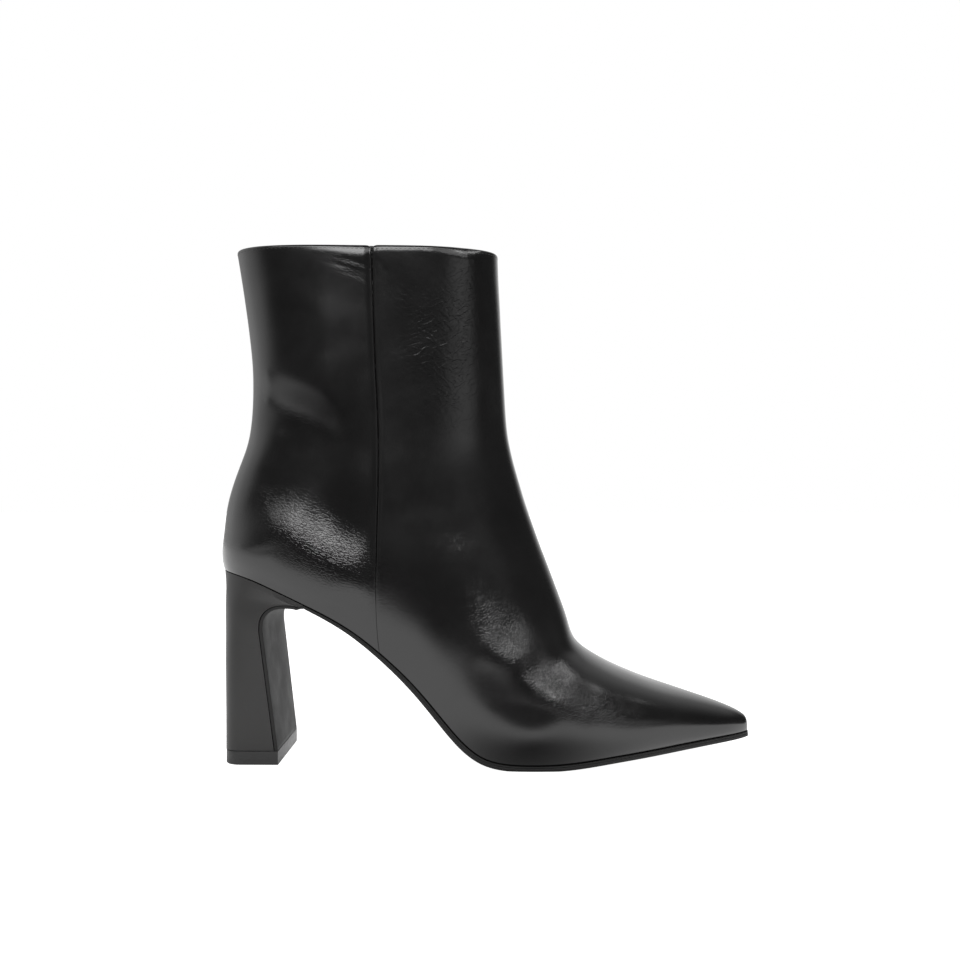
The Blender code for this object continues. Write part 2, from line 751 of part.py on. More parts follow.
def add_part(name, vertices, faces, colour, roughness):
    """Make one named solid with its own material."""
    mesh = bpy.data.meshes.new(name)
    points = [tuple(point) for point in vertices * MILLIMETRE]
    mesh.from_pydata(points, [], [tuple(int(v) for v in face) for face in faces])
    work = bmesh.new()
    work.from_mesh(mesh)
    bmesh.ops.recalc_face_normals(work, faces=work.faces)
    work.to_mesh(mesh)
    work.free()
    material = bpy.data.materials.new(name)
    material.use_nodes = True
    shader = material.node_tree.nodes["Principled BSDF"]
    shader.inputs["Base Color"].default_value = (*colour, 1.0)
    shader.inputs["Roughness"].default_value = roughness
    mesh.materials.append(material)
    part = bpy.data.objects.new(name, mesh)
    bpy.context.scene.collection.objects.link(part)


def build():
    """Make every piece, with the middle of the boot's footprint at the origin."""
    for old in list(bpy.data.objects):
        bpy.data.objects.remove(old, do_unlink=True)
    pieces = {
        "upper": upper_mesh(),
        "outsole": loft(outsole_rings()),
        "heel_block": loft(heel_rings()),
        "heel_tip": loft(tip_rings()),
        "insole": loft(insole_rings()),
    }
    low = np.min([vertices.min(axis=0) for vertices, _ in pieces.values()], axis=0)
    high = np.max([vertices.max(axis=0) for vertices, _ in pieces.values()], axis=0)
    middle = 0.5 * (low + high) * (1.0, 1.0, 0.0)
    for name, (vertices, faces) in pieces.items():
        colour, roughness = FINISH[name]
        add_part(name, vertices - middle, faces, colour, roughness)


build()
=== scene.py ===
import math

import bmesh
import bpy
import numpy as np
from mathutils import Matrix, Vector, noise


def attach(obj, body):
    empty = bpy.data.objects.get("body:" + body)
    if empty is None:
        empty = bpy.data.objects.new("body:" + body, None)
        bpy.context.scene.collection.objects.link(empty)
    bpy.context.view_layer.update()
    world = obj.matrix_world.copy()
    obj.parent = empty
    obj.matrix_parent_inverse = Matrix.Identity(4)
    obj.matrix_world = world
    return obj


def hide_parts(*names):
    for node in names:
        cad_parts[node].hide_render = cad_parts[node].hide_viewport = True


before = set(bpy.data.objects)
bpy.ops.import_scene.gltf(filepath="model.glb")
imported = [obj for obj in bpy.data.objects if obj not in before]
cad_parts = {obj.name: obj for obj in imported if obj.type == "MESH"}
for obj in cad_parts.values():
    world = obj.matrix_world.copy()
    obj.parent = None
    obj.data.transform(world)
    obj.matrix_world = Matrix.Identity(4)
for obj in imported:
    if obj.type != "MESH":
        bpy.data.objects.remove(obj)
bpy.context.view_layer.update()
print("frame loaded:", ", ".join(sorted(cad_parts)))

scene = bpy.context.scene
millimetre = 0.001

# the last, millimetres: x from the back of the heel, y medial, z up
lastForm = {
    "columns": ("keelX", "keelZ", "ridgeX", "ridgeZ", "swing", "lowOut", "lowIn", "midOut", "midIn", "top"),
    "sections": (
        (239.2, 9.2, 239.2, 10.6, 4.1, 0.0, 0.0, 0.0, 0.0, 0.0),
        (238.6, 9.0, 238.9, 15.4, 4.1, 2.6, 2.6, 3.1, 3.1, 2.5),
        (236.0, 7.9, 236.7, 18.2, 4.1, 5.3, 5.3, 6.3, 6.3, 5.0),
        (230.2, 6.7, 231.5, 21.0, 4.0, 9.2, 9.1, 11.0, 10.9, 9.0),
        (218.9, 4.6, 221.2, 24.9, 3.8, 14.6, 14.4, 17.2, 17.0, 14.2),
        (204.2, 1.7, 207.5, 29.5, 3.4, 20.8, 20.3, 24.0, 23.6, 20.0),
        (188.7, -1.7, 193.8, 34.1, 2.7, 26.6, 25.9, 30.1, 29.6, 25.2),
        (171.8, -5.7, 180.5, 39.4, 1.8, 31.2, 31.0, 35.0, 34.8, 29.0),
        (153.2, -10.0, 168.5, 45.7, 0.9, 34.4, 35.2, 38.9, 38.9, 31.8),
        (135.9, -12.9, 160.6, 52.2, 0.3, 34.8, 35.8, 39.7, 39.9, 31.4),
        (117.3, -15.6, 156.8, 61.5, 0.0, 33.2, 32.6, 38.5, 37.6, 29.2),
        (97.9, -10.7, 151.2, 77.0, 0.0, 30.2, 27.2, 36.4, 34.6, 27.0),
        (78.4, 7.3, 145.2, 93.0, 0.0, 27.0, 23.6, 34.4, 32.2, 26.0),
        (56.2, 28.3, 139.1, 110.0, 0.0, 26.4, 24.6, 33.2, 31.6, 25.4),
        (33.0, 48.2, 133.7, 127.0, 0.0, 28.2, 27.6, 32.6, 31.8, 24.8),
        (11.6, 66.6, 130.1, 142.0, 0.0, 29.4, 29.2, 31.9, 31.5, 24.4),
        (0.5, 86.5, 128.9, 152.5, 0.0, 29.2, 29.2, 30.8, 30.7, 24.1),
        (0.9, 100.0, 128.3, 161.5, 0.0, 28.3, 28.3, 29.5, 29.5, 23.7),
        (2.8, 113.5, 127.8, 170.5, 0.0, 27.2, 27.2, 28.5, 28.5, 23.3),
        (6.6, 126.5, 127.4, 179.0, 0.0, 26.1, 26.1, 27.7, 27.7, 23.0),
        (11.5, 140.0, 127.0, 187.5, 0.0, 25.2, 25.2, 27.1, 27.1, 22.8),
        (13.7, 155.0, 126.5, 196.5, 0.0, 24.5, 24.5, 26.6, 26.6, 22.7),
        (13.8, 176.0, 126.0, 206.5, 0.0, 24.0, 24.0, 26.2, 26.2, 22.8),
        (11.0, 200.0, 125.5, 216.5, 0.0, 23.6, 23.6, 26.0, 26.0, 23.2),
        (6.7, 227.6, 125.2, 226.4, 0.0, 23.4, 23.4, 25.8, 25.8, 23.8),
    ),
    "widthShares": (0.2, 0.5, 0.8),
    "seat": (  # x, z of the line where the upper meets sole and heel
        (-4.0, 84.9), (14.0, 81.4), (32.0, 74.2), (47.0, 67.2), (62.0, 58.6), (76.0, 47.6),
        (90.0, 34.2), (101.0, 21.6), (110.0, 11.7), (118.0, 5.7), (127.0, 3.1), (138.0, 2.5),
        (150.0, 2.7), (170.0, 4.5), (190.0, 6.4), (215.0, 8.7), (242.0, 10.8),
    ),
    "seam": (  # z, x of the side seam
        (40.0, 74.9), (56.0, 73.4), (80.0, 72.8), (110.0, 73.3), (140.0, 73.5), (170.0, 72.1), (227.0, 70.3),
    ),
    "gap": 0.3,
    "halvings": 48,          # steps of a search by halves
    "highestSeat": 0.98,
    "scanSteps": 1600,
    "backOverlap": 20,
    "middle": (119.87, 0.576, 0.0),   # middle of the footprint box
}


def naturalCurve(knots, values):
    knots = np.asarray(knots, float)
    values = np.asarray(values, float)
    count = len(knots)
    step = np.diff(knots)
    matrix = np.zeros((count, count))
    right = np.zeros_like(values)
    matrix[0, 0] = matrix[-1, -1] = 1.0
    for i in range(1, count - 1):
        matrix[i, i - 1:i + 2] = step[i - 1], 2.0 * (step[i - 1] + step[i]), step[i]
        right[i] = 6.0 * ((values[i + 1] - values[i]) / step[i] - (values[i] - values[i - 1]) / step[i - 1])
    bend = np.linalg.solve(matrix, right)

    def at(place):
        place = np.asarray(place, float)
        i = np.clip(np.searchsorted(knots, place) - 1, 0, count - 2)
        width = step[i]
        b = (place - knots[i]) / width
        a = 1.0 - b
        if values.ndim > 1:
            a, b, width = a[..., None], b[..., None], width[..., None]
        flat = a * values[i] + b * values[i + 1]
        return flat + width ** 2 / 6.0 * ((a ** 3 - a) * bend[i] + (b ** 3 - b) * bend[i + 1])

    return at


sectionRows = np.array(lastForm["sections"], float)
keelSteps = np.linalg.norm(np.diff(sectionRows[:, 0:2], axis=0), axis=1)
ridgeSteps = np.linalg.norm(np.diff(sectionRows[:, 2:4], axis=0), axis=1)
placeSteps = 0.5 * (keelSteps + ridgeSteps) + np.abs(np.diff(sectionRows[:, 7]))
placeKnots = np.concatenate([[0.0], np.cumsum(placeSteps)])
lastPlace = placeKnots[-1]
sectionAt = naturalCurve(placeKnots, sectionRows)
seatLine = naturalCurve(*zip(*lastForm["seat"]))
seamLine = naturalCurve(*zip(*lastForm["seam"]))


def column(section, name):
    return section[..., lastForm["columns"].index(name)]


def sectionAxis(section):
    x, z = column(section, "keelX"), column(section, "keelZ")
    return x, z, column(section, "ridgeX") - x, column(section, "ridgeZ") - z


def roundShare(share):
    return 2.0 * np.sqrt(np.clip(share * (1.0 - share), 0.0, None))


def halfWidth(section, share, side):
    flank = "Out" if side < 0 else "In"
    shares = lastForm["widthShares"]
    swell = 0.0
    for i, name in enumerate(("low" + flank, "mid" + flank, "top")):
        weight = 1.0
        for k in range(3):
            if k != i:
                weight = weight * (share - shares[k]) / (shares[i] - shares[k])
        swell = swell + column(section, name) / roundShare(shares[i]) * weight
    return roundShare(share) * swell


def skinPoint(place, share, side):
    section = sectionAt(place)
    share = np.asarray(share, float)
    x, z, alongX, alongZ = sectionAxis(section)
    y = column(section, "swing") + side * halfWidth(section, share, side)
    return np.stack([x + alongX * share, y, z + alongZ * share], axis=-1)


def seatShare(place):
    x, z, alongX, alongZ = sectionAxis(sectionAt(place))
    low = np.zeros_like(np.asarray(place, float))
    high = np.full_like(low, lastForm["highestSeat"])
    closed = z >= seatLine(x)
    for _ in range(lastForm["halvings"]):
        middle = 0.5 * (low + high)
        above = z + alongZ * middle > seatLine(x + alongX * middle)
        high = np.where(above, middle, high)
        low = np.where(above, low, middle)
    return np.where(closed, 0.0, high)


def locatePlace(x, z):
    x, z = np.asarray(x, float), np.asarray(z, float)
    low = np.zeros_like(x)
    high = np.full_like(x, lastPlace)
    for _ in range(lastForm["halvings"]):
        middle = 0.5 * (low + high)
        keelX, keelZ, alongX, alongZ = sectionAxis(sectionAt(middle))
        ahead = alongX * (z - keelZ) - alongZ * (x - keelX) > 0.0
        low = np.where(ahead, middle, low)
        high = np.where(ahead, high, middle)
    place = 0.5 * (low + high)
    keelX, keelZ, alongX, alongZ = sectionAxis(sectionAt(place))
    share = (x - keelX) * alongX + (z - keelZ) * alongZ
    return place, np.clip(share / (alongX ** 2 + alongZ ** 2), 0.0, 1.0)


# feather line: where the upper stands on the sole
scanPlaces = np.linspace(0.0, lastPlace, lastForm["scanSteps"] + 1)
scanShares = seatShare(scanPlaces)
backIndex = int(np.argmax(scanShares <= 0.0))
featherOut = skinPoint(scanPlaces[:backIndex + 1], scanShares[:backIndex + 1], -1)
featherIn = skinPoint(scanPlaces[:backIndex + 1], scanShares[:backIndex + 1], 1)
backRows = sectionAt(scanPlaces[backIndex - lastForm["backOverlap"]:])
heelBack, toeX = featherOut[-1, 0], featherOut[0, 0]


def featherAt(x):
    out = np.interp(x, featherOut[::-1, 0], featherOut[::-1, 1])
    return out, np.interp(x, featherOut[::-1, 0], featherIn[::-1, 1])


def backLine(z):
    return np.interp(z, backRows[:, 1], backRows[:, 0])


def collarLine(x):
    first, last = sectionRows[-1, 0:2], sectionRows[-1, 2:4]
    return first[1] + (last[1] - first[1]) * (x - first[0]) / (last[0] - first[0])


def seatSlope(x):
    return seatLine(x + 0.5) - seatLine(x - 0.5)


def seatNormal(x):
    slope = seatSlope(x)
    size = np.sqrt(1.0 + slope ** 2)
    return -slope / size, 1.0 / size


# where the side seam meets the seat line; the search may start at any height near it
seamFoot = float(seamLine(50.0))
for _ in range(12):
    seamFoot = float(seamLine(seatLine(seamFoot)))


def rowFrame(points):
    return (np.asarray(points, float) - np.array(lastForm["middle"])) * millimetre


def newPiece(name, points, faces, materials, faceMaterial=None):
    mesh = bpy.data.meshes.new(name)
    mesh.from_pydata([tuple(p) for p in rowFrame(points)], [], [tuple(int(v) for v in f) for f in faces])
    for material in materials:
        mesh.materials.append(material)
    if faceMaterial is not None:
        mesh.polygons.foreach_set("material_index", np.asarray(faceMaterial, np.int32))
    smoothFaces(mesh)
    mesh.update()
    piece = bpy.data.objects.new(name, mesh)
    scene.collection.objects.link(piece)
    return piece


def smoothFaces(mesh):
    mesh.polygons.foreach_set("use_smooth", np.full(len(mesh.polygons), True))


def outwardFaces(piece):
    work = bmesh.new()
    work.from_mesh(piece.data)
    bmesh.ops.remove_doubles(work, verts=work.verts, dist=1e-6)
    bmesh.ops.recalc_face_normals(work, faces=work.faces)
    work.to_mesh(piece.data)
    work.free()


def bakeModifiers(piece):
    depsgraph = bpy.context.evaluated_depsgraph_get()
    mesh = bpy.data.meshes.new_from_object(piece.evaluated_get(depsgraph), depsgraph=depsgraph)
    piece.modifiers.clear()
    old = piece.data
    piece.data = mesh
    bpy.data.meshes.remove(old)
    mesh.name = piece.name


def dressed(piece, node=None):
    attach(piece, "root")
    if node:
        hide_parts(node)
    print("piece ready:", piece.name, len(piece.data.polygons), "faces")


# materials: each reads its place on the piece from Object coordinates
noiseSpan = (0.3, 0.7)   # most of a noise lies between these


def newMaterial(name):
    material = bpy.data.materials.new(name)
    material.use_nodes = True
    tree = material.node_tree
    place = addNode(tree, "ShaderNodeTexCoord").outputs["Object"]
    return material, tree, tree.nodes["Principled BSDF"], place


def addNode(tree, kind, settings=None, **sockets):
    node = tree.nodes.new(kind)
    for key, value in (settings or {}).items():
        setattr(node, key, value)
    for key, value in sockets.items():
        node.inputs[key].default_value = value
    return node


def joinNodes(tree, *pairs):
    for source, target in pairs:
        tree.links.new(source, target)


def mathNode(tree, operation, first, second=None, clamp=False):
    node = addNode(tree, "ShaderNodeMath", {"operation": operation, "use_clamp": clamp})
    for slotIndex, value in enumerate((first, second)):
        if value is None:
            continue
        if isinstance(value, (int, float)):
            node.inputs[slotIndex].default_value = value
        else:
            tree.links.new(value, node.inputs[slotIndex])
    return node.outputs[0]


def times(tree, first, second):
    return mathNode(tree, "MULTIPLY", first, second)


def plus(tree, first, second):
    return mathNode(tree, "ADD", first, second)


def most(tree, first, second):
    return mathNode(tree, "MAXIMUM", first, second)


def rangeNode(tree, value, fromLow, fromHigh, toLow=0.0, toHigh=1.0):
    node = addNode(tree, "ShaderNodeMapRange", {"interpolation_type": "SMOOTHSTEP"})
    for key, number in (("From Min", fromLow), ("From Max", fromHigh), ("To Min", toLow), ("To Max", toHigh)):
        node.inputs[key].default_value = number
    tree.links.new(value, node.inputs["Value"])
    return node.outputs["Result"]


def fedNode(tree, kind, vector, settings=None, **sockets):
    node = addNode(tree, kind, settings, **sockets)
    tree.links.new(vector, node.inputs["Vector"])
    return node.outputs


def noiseNode(tree, vector, scale, detail=2.0, roughness=0.5):
    return fedNode(tree, "ShaderNodeTexNoise", vector, Scale=scale, Detail=detail, Roughness=roughness)["Fac"]


def waveNode(tree, vector, direction, scale, distortion=0.0):
    settings = {"bands_direction": direction}
    return fedNode(tree, "ShaderNodeTexWave", vector, settings, Scale=scale, Distortion=distortion)["Fac"]


def facingNode(tree):
    return fedNode(tree, "ShaderNodeSeparateXYZ", addNode(tree, "ShaderNodeNewGeometry").outputs["Normal"])


def toneMix(tree, factor, first, second):
    node = addNode(tree, "ShaderNodeMix", {"data_type": "RGBA"})
    node.inputs["A"].default_value = (*first, 1.0)
    node.inputs["B"].default_value = (*second, 1.0)
    tree.links.new(factor, node.inputs["Factor"])
    return node.outputs["Result"]


def setSockets(shader, values):
    for name, value in values.items():
        shader.inputs[name].default_value = value


def finishShader(tree, shader, tone, rough, height, values):
    strength, distance = values["bump"]
    bump = addNode(tree, "ShaderNodeBump", Strength=strength, Distance=distance)
    joinNodes(tree, (height, bump.inputs["Height"]), (bump.outputs["Normal"], shader.inputs["Normal"]),
              (tone, shader.inputs["Base Color"]))
    if isinstance(rough, float):
        setSockets(shader, {"Roughness": rough})
    else:
        tree.links.new(rough, shader.inputs["Roughness"])
    setSockets(shader, values.get("sockets", {}))


leatherFinish = {
    "deepTone": (0.0045, 0.0044, 0.0044),
    "liftTone": (0.0085, 0.0083, 0.0084),
    "cloudScale": 38.0,
    "rough": (0.165, 0.23),
    "driftScale": 170.0,
    "warp": 0.0022,
    "pores": (1900.0, 0.1),   # scale, depth
    "creases": (430.0, 0.55, 0.6),   # scale, where in the noise a crease starts, depth
    "cells": (0.2, 0.7),   # rim, depth
    "rippleDepth": 1.6,
    "bump": (0.55, 0.00014),   # strength, height
    "sockets": {"Specular IOR Level": 0.5, "Coat Weight": 0.12, "Coat Roughness": 0.2},
    "grains": {  # lean of the grain, its stretch, cells and ripples per metre
        "counterGrain": (-28.0, 0.5, 900.0, 620.0), "vampGrain": (56.0, 0.5, 1150.0, 820.0),
        "shaftCrease": (28.0, 0.36, 0.0, 0.0), "shaftCross": (-38.0, 0.4, 0.0, 0.0),
    },
}


def makeLeather():
    values = leatherFinish
    material, tree, shader, place = newMaterial("boot_leather")
    drift = fedNode(tree, "ShaderNodeTexNoise", place, Scale=values["driftScale"], Detail=3.0)["Color"]
    centred = addNode(tree, "ShaderNodeVectorMath", {"operation": "SUBTRACT"})
    centred.inputs[1].default_value = (0.5, 0.5, 0.5)
    warped = addNode(tree, "ShaderNodeVectorMath", {"operation": "MULTIPLY_ADD"})
    warped.inputs[1].default_value = (values["warp"],) * 3
    joinNodes(tree, (drift, centred.inputs[0]), (centred.outputs[0], warped.inputs[0]),
              (place, warped.inputs[2]))
    bent = warped.outputs[0]
    poreScale, poreDepth = values["pores"]
    creaseScale, creaseStart, creaseDepth = values["creases"]
    cellRim, cellDepth = values["cells"]
    pores = fedNode(tree, "ShaderNodeTexVoronoi", bent, {"feature": "F1"}, Scale=poreScale)
    height = times(tree, pores["Distance"], poreDepth)
    for patch, (run, stretch, cellScale, rippleScale) in values["grains"].items():
        turned = fedNode(tree, "ShaderNodeVectorRotate", bent, {"rotation_type": "Y_AXIS"},
                         Angle=math.radians(run))
        drawn = fedNode(tree, "ShaderNodeMapping", turned[0], Scale=(stretch, 1.0, 1.0))[0]
        if cellScale == 0.0:
            ridged = fedNode(tree, "ShaderNodeTexNoise", drawn, {"noise_type": "RIDGED_MULTIFRACTAL"},
                             Scale=creaseScale, Detail=1.0, Roughness=0.5, Offset=1.0, Gain=1.0)
            relief = times(tree, rangeNode(tree, ridged["Fac"], creaseStart, 1.0), creaseDepth)
        else:
            cells = fedNode(tree, "ShaderNodeTexVoronoi", drawn, {"feature": "DISTANCE_TO_EDGE"},
                            Scale=cellScale)
            ripple = noiseNode(tree, drawn, rippleScale, 3.0, 0.6)
            relief = plus(tree, times(tree, rangeNode(tree, cells["Distance"], 0.0, cellRim), cellDepth),
                          times(tree, ripple, values["rippleDepth"]))
        weight = addNode(tree, "ShaderNodeAttribute", {"attribute_name": patch}).outputs["Fac"]
        height = plus(tree, height, times(tree, relief, weight))
    cloud = noiseNode(tree, place, values["cloudScale"], 4.0, 0.6)
    tone = toneMix(tree, cloud, values["deepTone"], values["liftTone"])
    finishShader(tree, shader, tone, rangeNode(tree, cloud, *noiseSpan, *values["rough"]), height, values)
    return material


liningFinish = {
    "darkTone": (0.016, 0.015, 0.015),
    "paleTone": (0.028, 0.027, 0.026),
    "weaveScale": 233.3333,
    "patchScale": 60.0,
    "bump": (0.4, 0.0002),
    "roughness": 0.82,
}


def makeLining(name, values):
    material, tree, shader, place = newMaterial(name)
    weave = times(tree, *(waveNode(tree, place, way, values["weaveScale"], 0.6) for way in ("X", "Z")))
    patch = noiseNode(tree, place, values["patchScale"], 4.0)
    tone = toneMix(tree, times(tree, weave, patch), values["darkTone"], values["paleTone"])
    finishShader(tree, shader, tone, values["roughness"], weave, values)
    return material


# upper: front panel and back panel sewn at the sides, one skin with a lining inside
upperPiece = {
    "wall": 1.8,
    "foreRings": 140,
    "foreCrowd": 1.25,       # over 1 the rings crowd at the toe
    "nearSteps": (0.0, 0.18, 0.4, 0.7, 1.1, 1.6, 2.2, 3.0, 4.0, 5.4),
    "nearRow": 30.0,         # shorter rows have shorter near steps
    "fineSteps": 500,
    "frontSteps": 63,
    "backSteps": 43,
    "collarDrops": (0.0, 0.08, 0.25, 0.5, 0.85, 1.25, 1.7, 2.2, 2.8, 3.4),
    "footRises": (0.0, 0.12, 0.35, 0.7, 1.2, 1.9, 2.8),
    "topZone": 28.0,
    "topRows": 36,
    "lowRows": 105,          # the lining takes every second row, so all rows together are an odd count
    "collarRound": 0.9,
    "footRound": 0.4,
    "noSeam": 9.0,           # counts as far from the seam
    "seamGap": 0.45,
    "seamDepth": 0.65,
    "seamCrest": 1.6,        # in seam gaps, where the roll is highest
    "seamLow": (70.0, 20.0, 0.45),   # height where the seam's relief starts, full after, groove left under it
    "shoulder": 0.6,         # rounded edge of the front panel along the seam
    "shoulderReach": 1.5,
    "seamRoll": 0.42,
    "seamFade": 3.4,
    "seamTop": (0.8, 0.25),  # drop from the collar where the relief is full, share at the collar
    "rollIn": (  # x, how far the collar leans in, over how much height
        (5.0, 0.05, 3.0), (40.0, 0.12, 3.0), (52.0, 0.45, 3.6), (60.0, 0.8, 5.0), (68.5, 1.0, 5.6),
        (71.0, 0.5, 3.6), (76.0, 0.45, 3.0), (92.0, 0.45, 3.0), (98.0, 0.7, 3.6), (106.0, 1.5, 5.0),
        (111.0, 2.0, 5.6), (116.0, 1.6, 5.4), (120.0, 0.8, 4.6), (124.0, 0.05, 3.0),
    ),
    "waviness": 0.16,
    "waveScales": (0.032, 0.075),
    "waveCalm": (3.0, 5.0),  # waves die out this near the collar and the foot line
    "foldCalm": 10.0,
    "notch": (0.8, 1.3, 2.5),   # dip of the collar at the seam: depth, width, height
}
stiffenerTop = ((8.0, 175.0), (20.0, 175.0), (29.0, 174.0), (36.0, 172.0), (43.0, 169.3), (50.0, 166.0),
                (58.0, 162.0), (67.0, 157.5))
hollowDrop = 23.0
# creases: path in x and z, half width, depth; "above" is the half width on the upper side
upperFolds = (
    {"path": stiffenerTop, "width": 16.0, "above": 34.0, "depth": 2.3,
     "panel": "back", "level": True},  # shaft sags over the stiffener's top edge
    {"path": tuple((x, z - hollowDrop) for x, z in stiffenerTop), "width": 80.0, "above": 16.0, "depth": -2.3,
     "panel": "back", "level": True},  # hollow under the sag
    {"path": ((23.5, 153.0), (21.5, 146.0), (20.0, 139.0), (18.5, 131.0), (17.5, 123.0)),
     "width": 11.0, "depth": 1.2, "panel": "back"},  # corner of the stiffener under the hollow
    {"path": ((14.0, 111.5), (22.0, 105.5), (34.0, 96.5), (42.0, 91.0), (53.0, 84.8), (64.0, 77.3),
              (76.0, 70.0)),
     "width": 30.0, "above": 12.5, "depth": 3.0, "panel": "back"},  # swell of the stiffener
    {"path": ((42.0, 117.0), (50.0, 112.5), (60.0, 107.0), (74.0, 98.0)),
     "width": 11.0, "depth": -0.9, "panel": "back"},
    {"path": ((114.0, 54.5), (124.0, 50.5), (133.0, 48.5), (144.0, 48.5)),
     "width": 7.0, "above": 9.0, "depth": 0.9, "panel": "lateral"},  # bend of the vamp: a roll, then a break
    {"path": ((124.0, 43.5), (133.0, 42.5), (141.0, 43.0), (152.0, 47.0), (163.0, 51.5)),
     "width": 4.3, "depth": -0.35},
    {"path": ((121.0, 52.5), (131.0, 45.0), (139.0, 39.0), (148.0, 33.0), (156.0, 29.0), (166.0, 26.5)),
     "width": 7.5, "above": 17.0, "depth": 1.7, "panel": "lateral"},  # roll over the ball
    {"path": ((124.0, 29.5), (140.0, 27.0), (158.0, 24.8)), "width": 3.0, "depth": -0.2, "panel": "lateral"},
    {"path": ((52.0, 219.5), (60.0, 217.0), (69.0, 213.5)), "width": 0.8, "depth": -0.10},  # seam puckers
    {"path": ((56.0, 221.5), (63.0, 219.5), (69.5, 217.0)), "width": 0.8, "depth": -0.10},
    {"path": ((58.0, 215.5), (64.0, 213.5), (69.5, 210.5)), "width": 0.8, "depth": -0.08},
    {"path": ((71.5, 221.0), (75.0, 218.0), (77.5, 213.5)), "width": 0.8, "depth": -0.10},
)
foldFade = {
    "end": (0.25, 0.3),      # depth left at a fold's ends, share of its length that fades
    "lateral": 8.0,          # width over which a fold of the lateral side dies out at the ridge
    "seam": (3.0, 9.0),      # how far past the seam, over what length
    "backLine": 26.0,        # half width within which a fold dies out at the back
    "turnOver": 3.0,         # height over which a level fold changes sides
    "smoothing": 5,          # points on the smooth path for each given one
}
# patches where the grain has broken into fine wrinkles: x, z, long and short radius, lean, weight
wrinklePatches = {
    "counterGrain": (
        (47.0, 99.0, 32.0, 13.0, -35.0, 0.9), (60.0, 217.5, 14.0, 5.0, -22.0, 0.32),
        (40.0, 150.0, 16.0, 8.0, -20.0, 0.3),
    ),
    "vampGrain": (
        (127.5, 59.5, 18.0, 9.5, -48.0, 1.2), (149.0, 37.5, 17.0, 8.0, -38.0, 1.2),
        (167.0, 26.5, 18.0, 5.0, -14.0, 1.3), (110.0, 96.0, 13.0, 8.0, 0.0, 0.3),
    ),
    "shaftCrease": ((109.0, 189.0, 42.0, 12.0, 84.0, 1.0), (96.0, 187.0, 17.0, 10.0, 60.0, 0.8)),
    "shaftCross": ((103.0, 185.0, 34.0, 14.0, 80.0, 0.7), (88.0, 200.0, 14.0, 6.0, -45.0, 0.5)),
}
grainFloors = {"counterGrain": 0.05, "vampGrain": 0.05}   # grain outside the patches


def walkedLength(line):
    return np.concatenate([[0.0], np.cumsum(np.linalg.norm(np.diff(line, axis=0), axis=1))])


def rowSteps(length, count):
    near = np.array(upperPiece["nearSteps"]) * min(1.0, length / upperPiece["nearRow"])
    return np.concatenate([near, np.linspace(near[-1], length, count + 1)[1:]])


def alongRow(fine, count):
    walked = walkedLength(fine)
    wanted = rowSteps(walked[-1], count)
    return np.stack([np.interp(wanted, walked, fine[:, k]) for k in range(3)], axis=1), wanted


def bothSides(makeRow):
    out, far = makeRow(-1)
    inner, _ = makeRow(1)
    return np.concatenate([out, inner[-2::-1]]), np.concatenate([far, far[-2::-1]])


def frontRow(place, share):
    turned = np.linspace(math.acos(1.0 - 2.0 * share), math.pi, upperPiece["fineSteps"])
    places = np.full(len(turned), place)

    def makeRow(side):
        return alongRow(skinPoint(places, 0.5 - 0.5 * np.cos(turned), side), upperPiece["frontSteps"])
    return bothSides(makeRow)


def backRow(share):
    seamZ = seatLine(seamFoot) + (collarLine(seamFoot) - seatLine(seamFoot)) * share
    start = seamLine(seamZ) if share > 0.0 else seamFoot
    end = heelBack
    for _ in range(8):
        end = backLine(seatLine(end) + (collarLine(end) - seatLine(end)) * share)
    x = start + (end - start) * np.sin(np.linspace(0.0, 0.5 * math.pi, upperPiece["fineSteps"]))
    z = seatLine(x) + (collarLine(x) - seatLine(x)) * share
    z[0] = seamZ
    place, sectionShare = locatePlace(x, z)

    def makeRow(side):
        fine = skinPoint(place, sectionShare, side)
        fine[:, 0], fine[:, 2] = x, z
        fine[-1, 1] = 0.0
        return alongRow(fine, upperPiece["backSteps"])
    return bothSides(makeRow)


def seamShares():
    tall = float(collarLine(seamFoot) - seatLine(seamFoot))
    rises = np.array(upperPiece["footRises"])
    drops = np.array(upperPiece["collarDrops"])
    zone = tall - upperPiece["topZone"]
    low = np.linspace(rises[-1], zone, upperPiece["lowRows"] + 1)[1:]
    top = np.linspace(zone, tall - drops[-1], upperPiece["topRows"] + 1)[1:]
    return np.concatenate([rises, low, top, tall - drops[-2::-1]]) / tall


def softStep(value):
    value = np.clip(value, 0.0, 1.0)
    return value * value * (3.0 - 2.0 * value)


def pathDistance(x, z, path):
    best = np.full(len(x), 1e9)
    along = np.zeros(len(x))
    over = np.zeros(len(x))
    path = np.array(path)
    reach = walkedLength(path)
    steps = np.linspace(0.0, reach[-1], foldFade["smoothing"] * len(path))
    path = naturalCurve(reach, path)(steps)  # no corners in the fold
    done = walkedLength(path)
    lengths = np.diff(done)
    for k in range(len(path) - 1):
        run = path[k + 1] - path[k]
        offX, offZ = x - path[k, 0], z - path[k, 1]
        share = np.clip((offX * run[0] + offZ * run[1]) / lengths[k] ** 2, 0.0, 1.0)
        far = np.hypot(offX - run[0] * share, offZ - run[1] * share)
        nearer = far < best
        along = np.where(nearer, (done[k] + share * lengths[k]) / done[-1], along)
        over = np.where(nearer, (offZ * run[0] - offX * run[1]) / lengths[k] / np.maximum(far, 1e-6), over)
        best = np.minimum(best, far)
    return best, along, over


def levelDistance(x, z, path):
    path = np.array(path)
    first, last = path[0, 0], path[-1, 0]
    held = np.clip(x, first, last)
    rise = z - naturalCurve(path[:, 0], path)(held)[:, 1]
    return np.hypot(rise, x - held), (held - first) / (last - first), rise / foldFade["turnOver"]


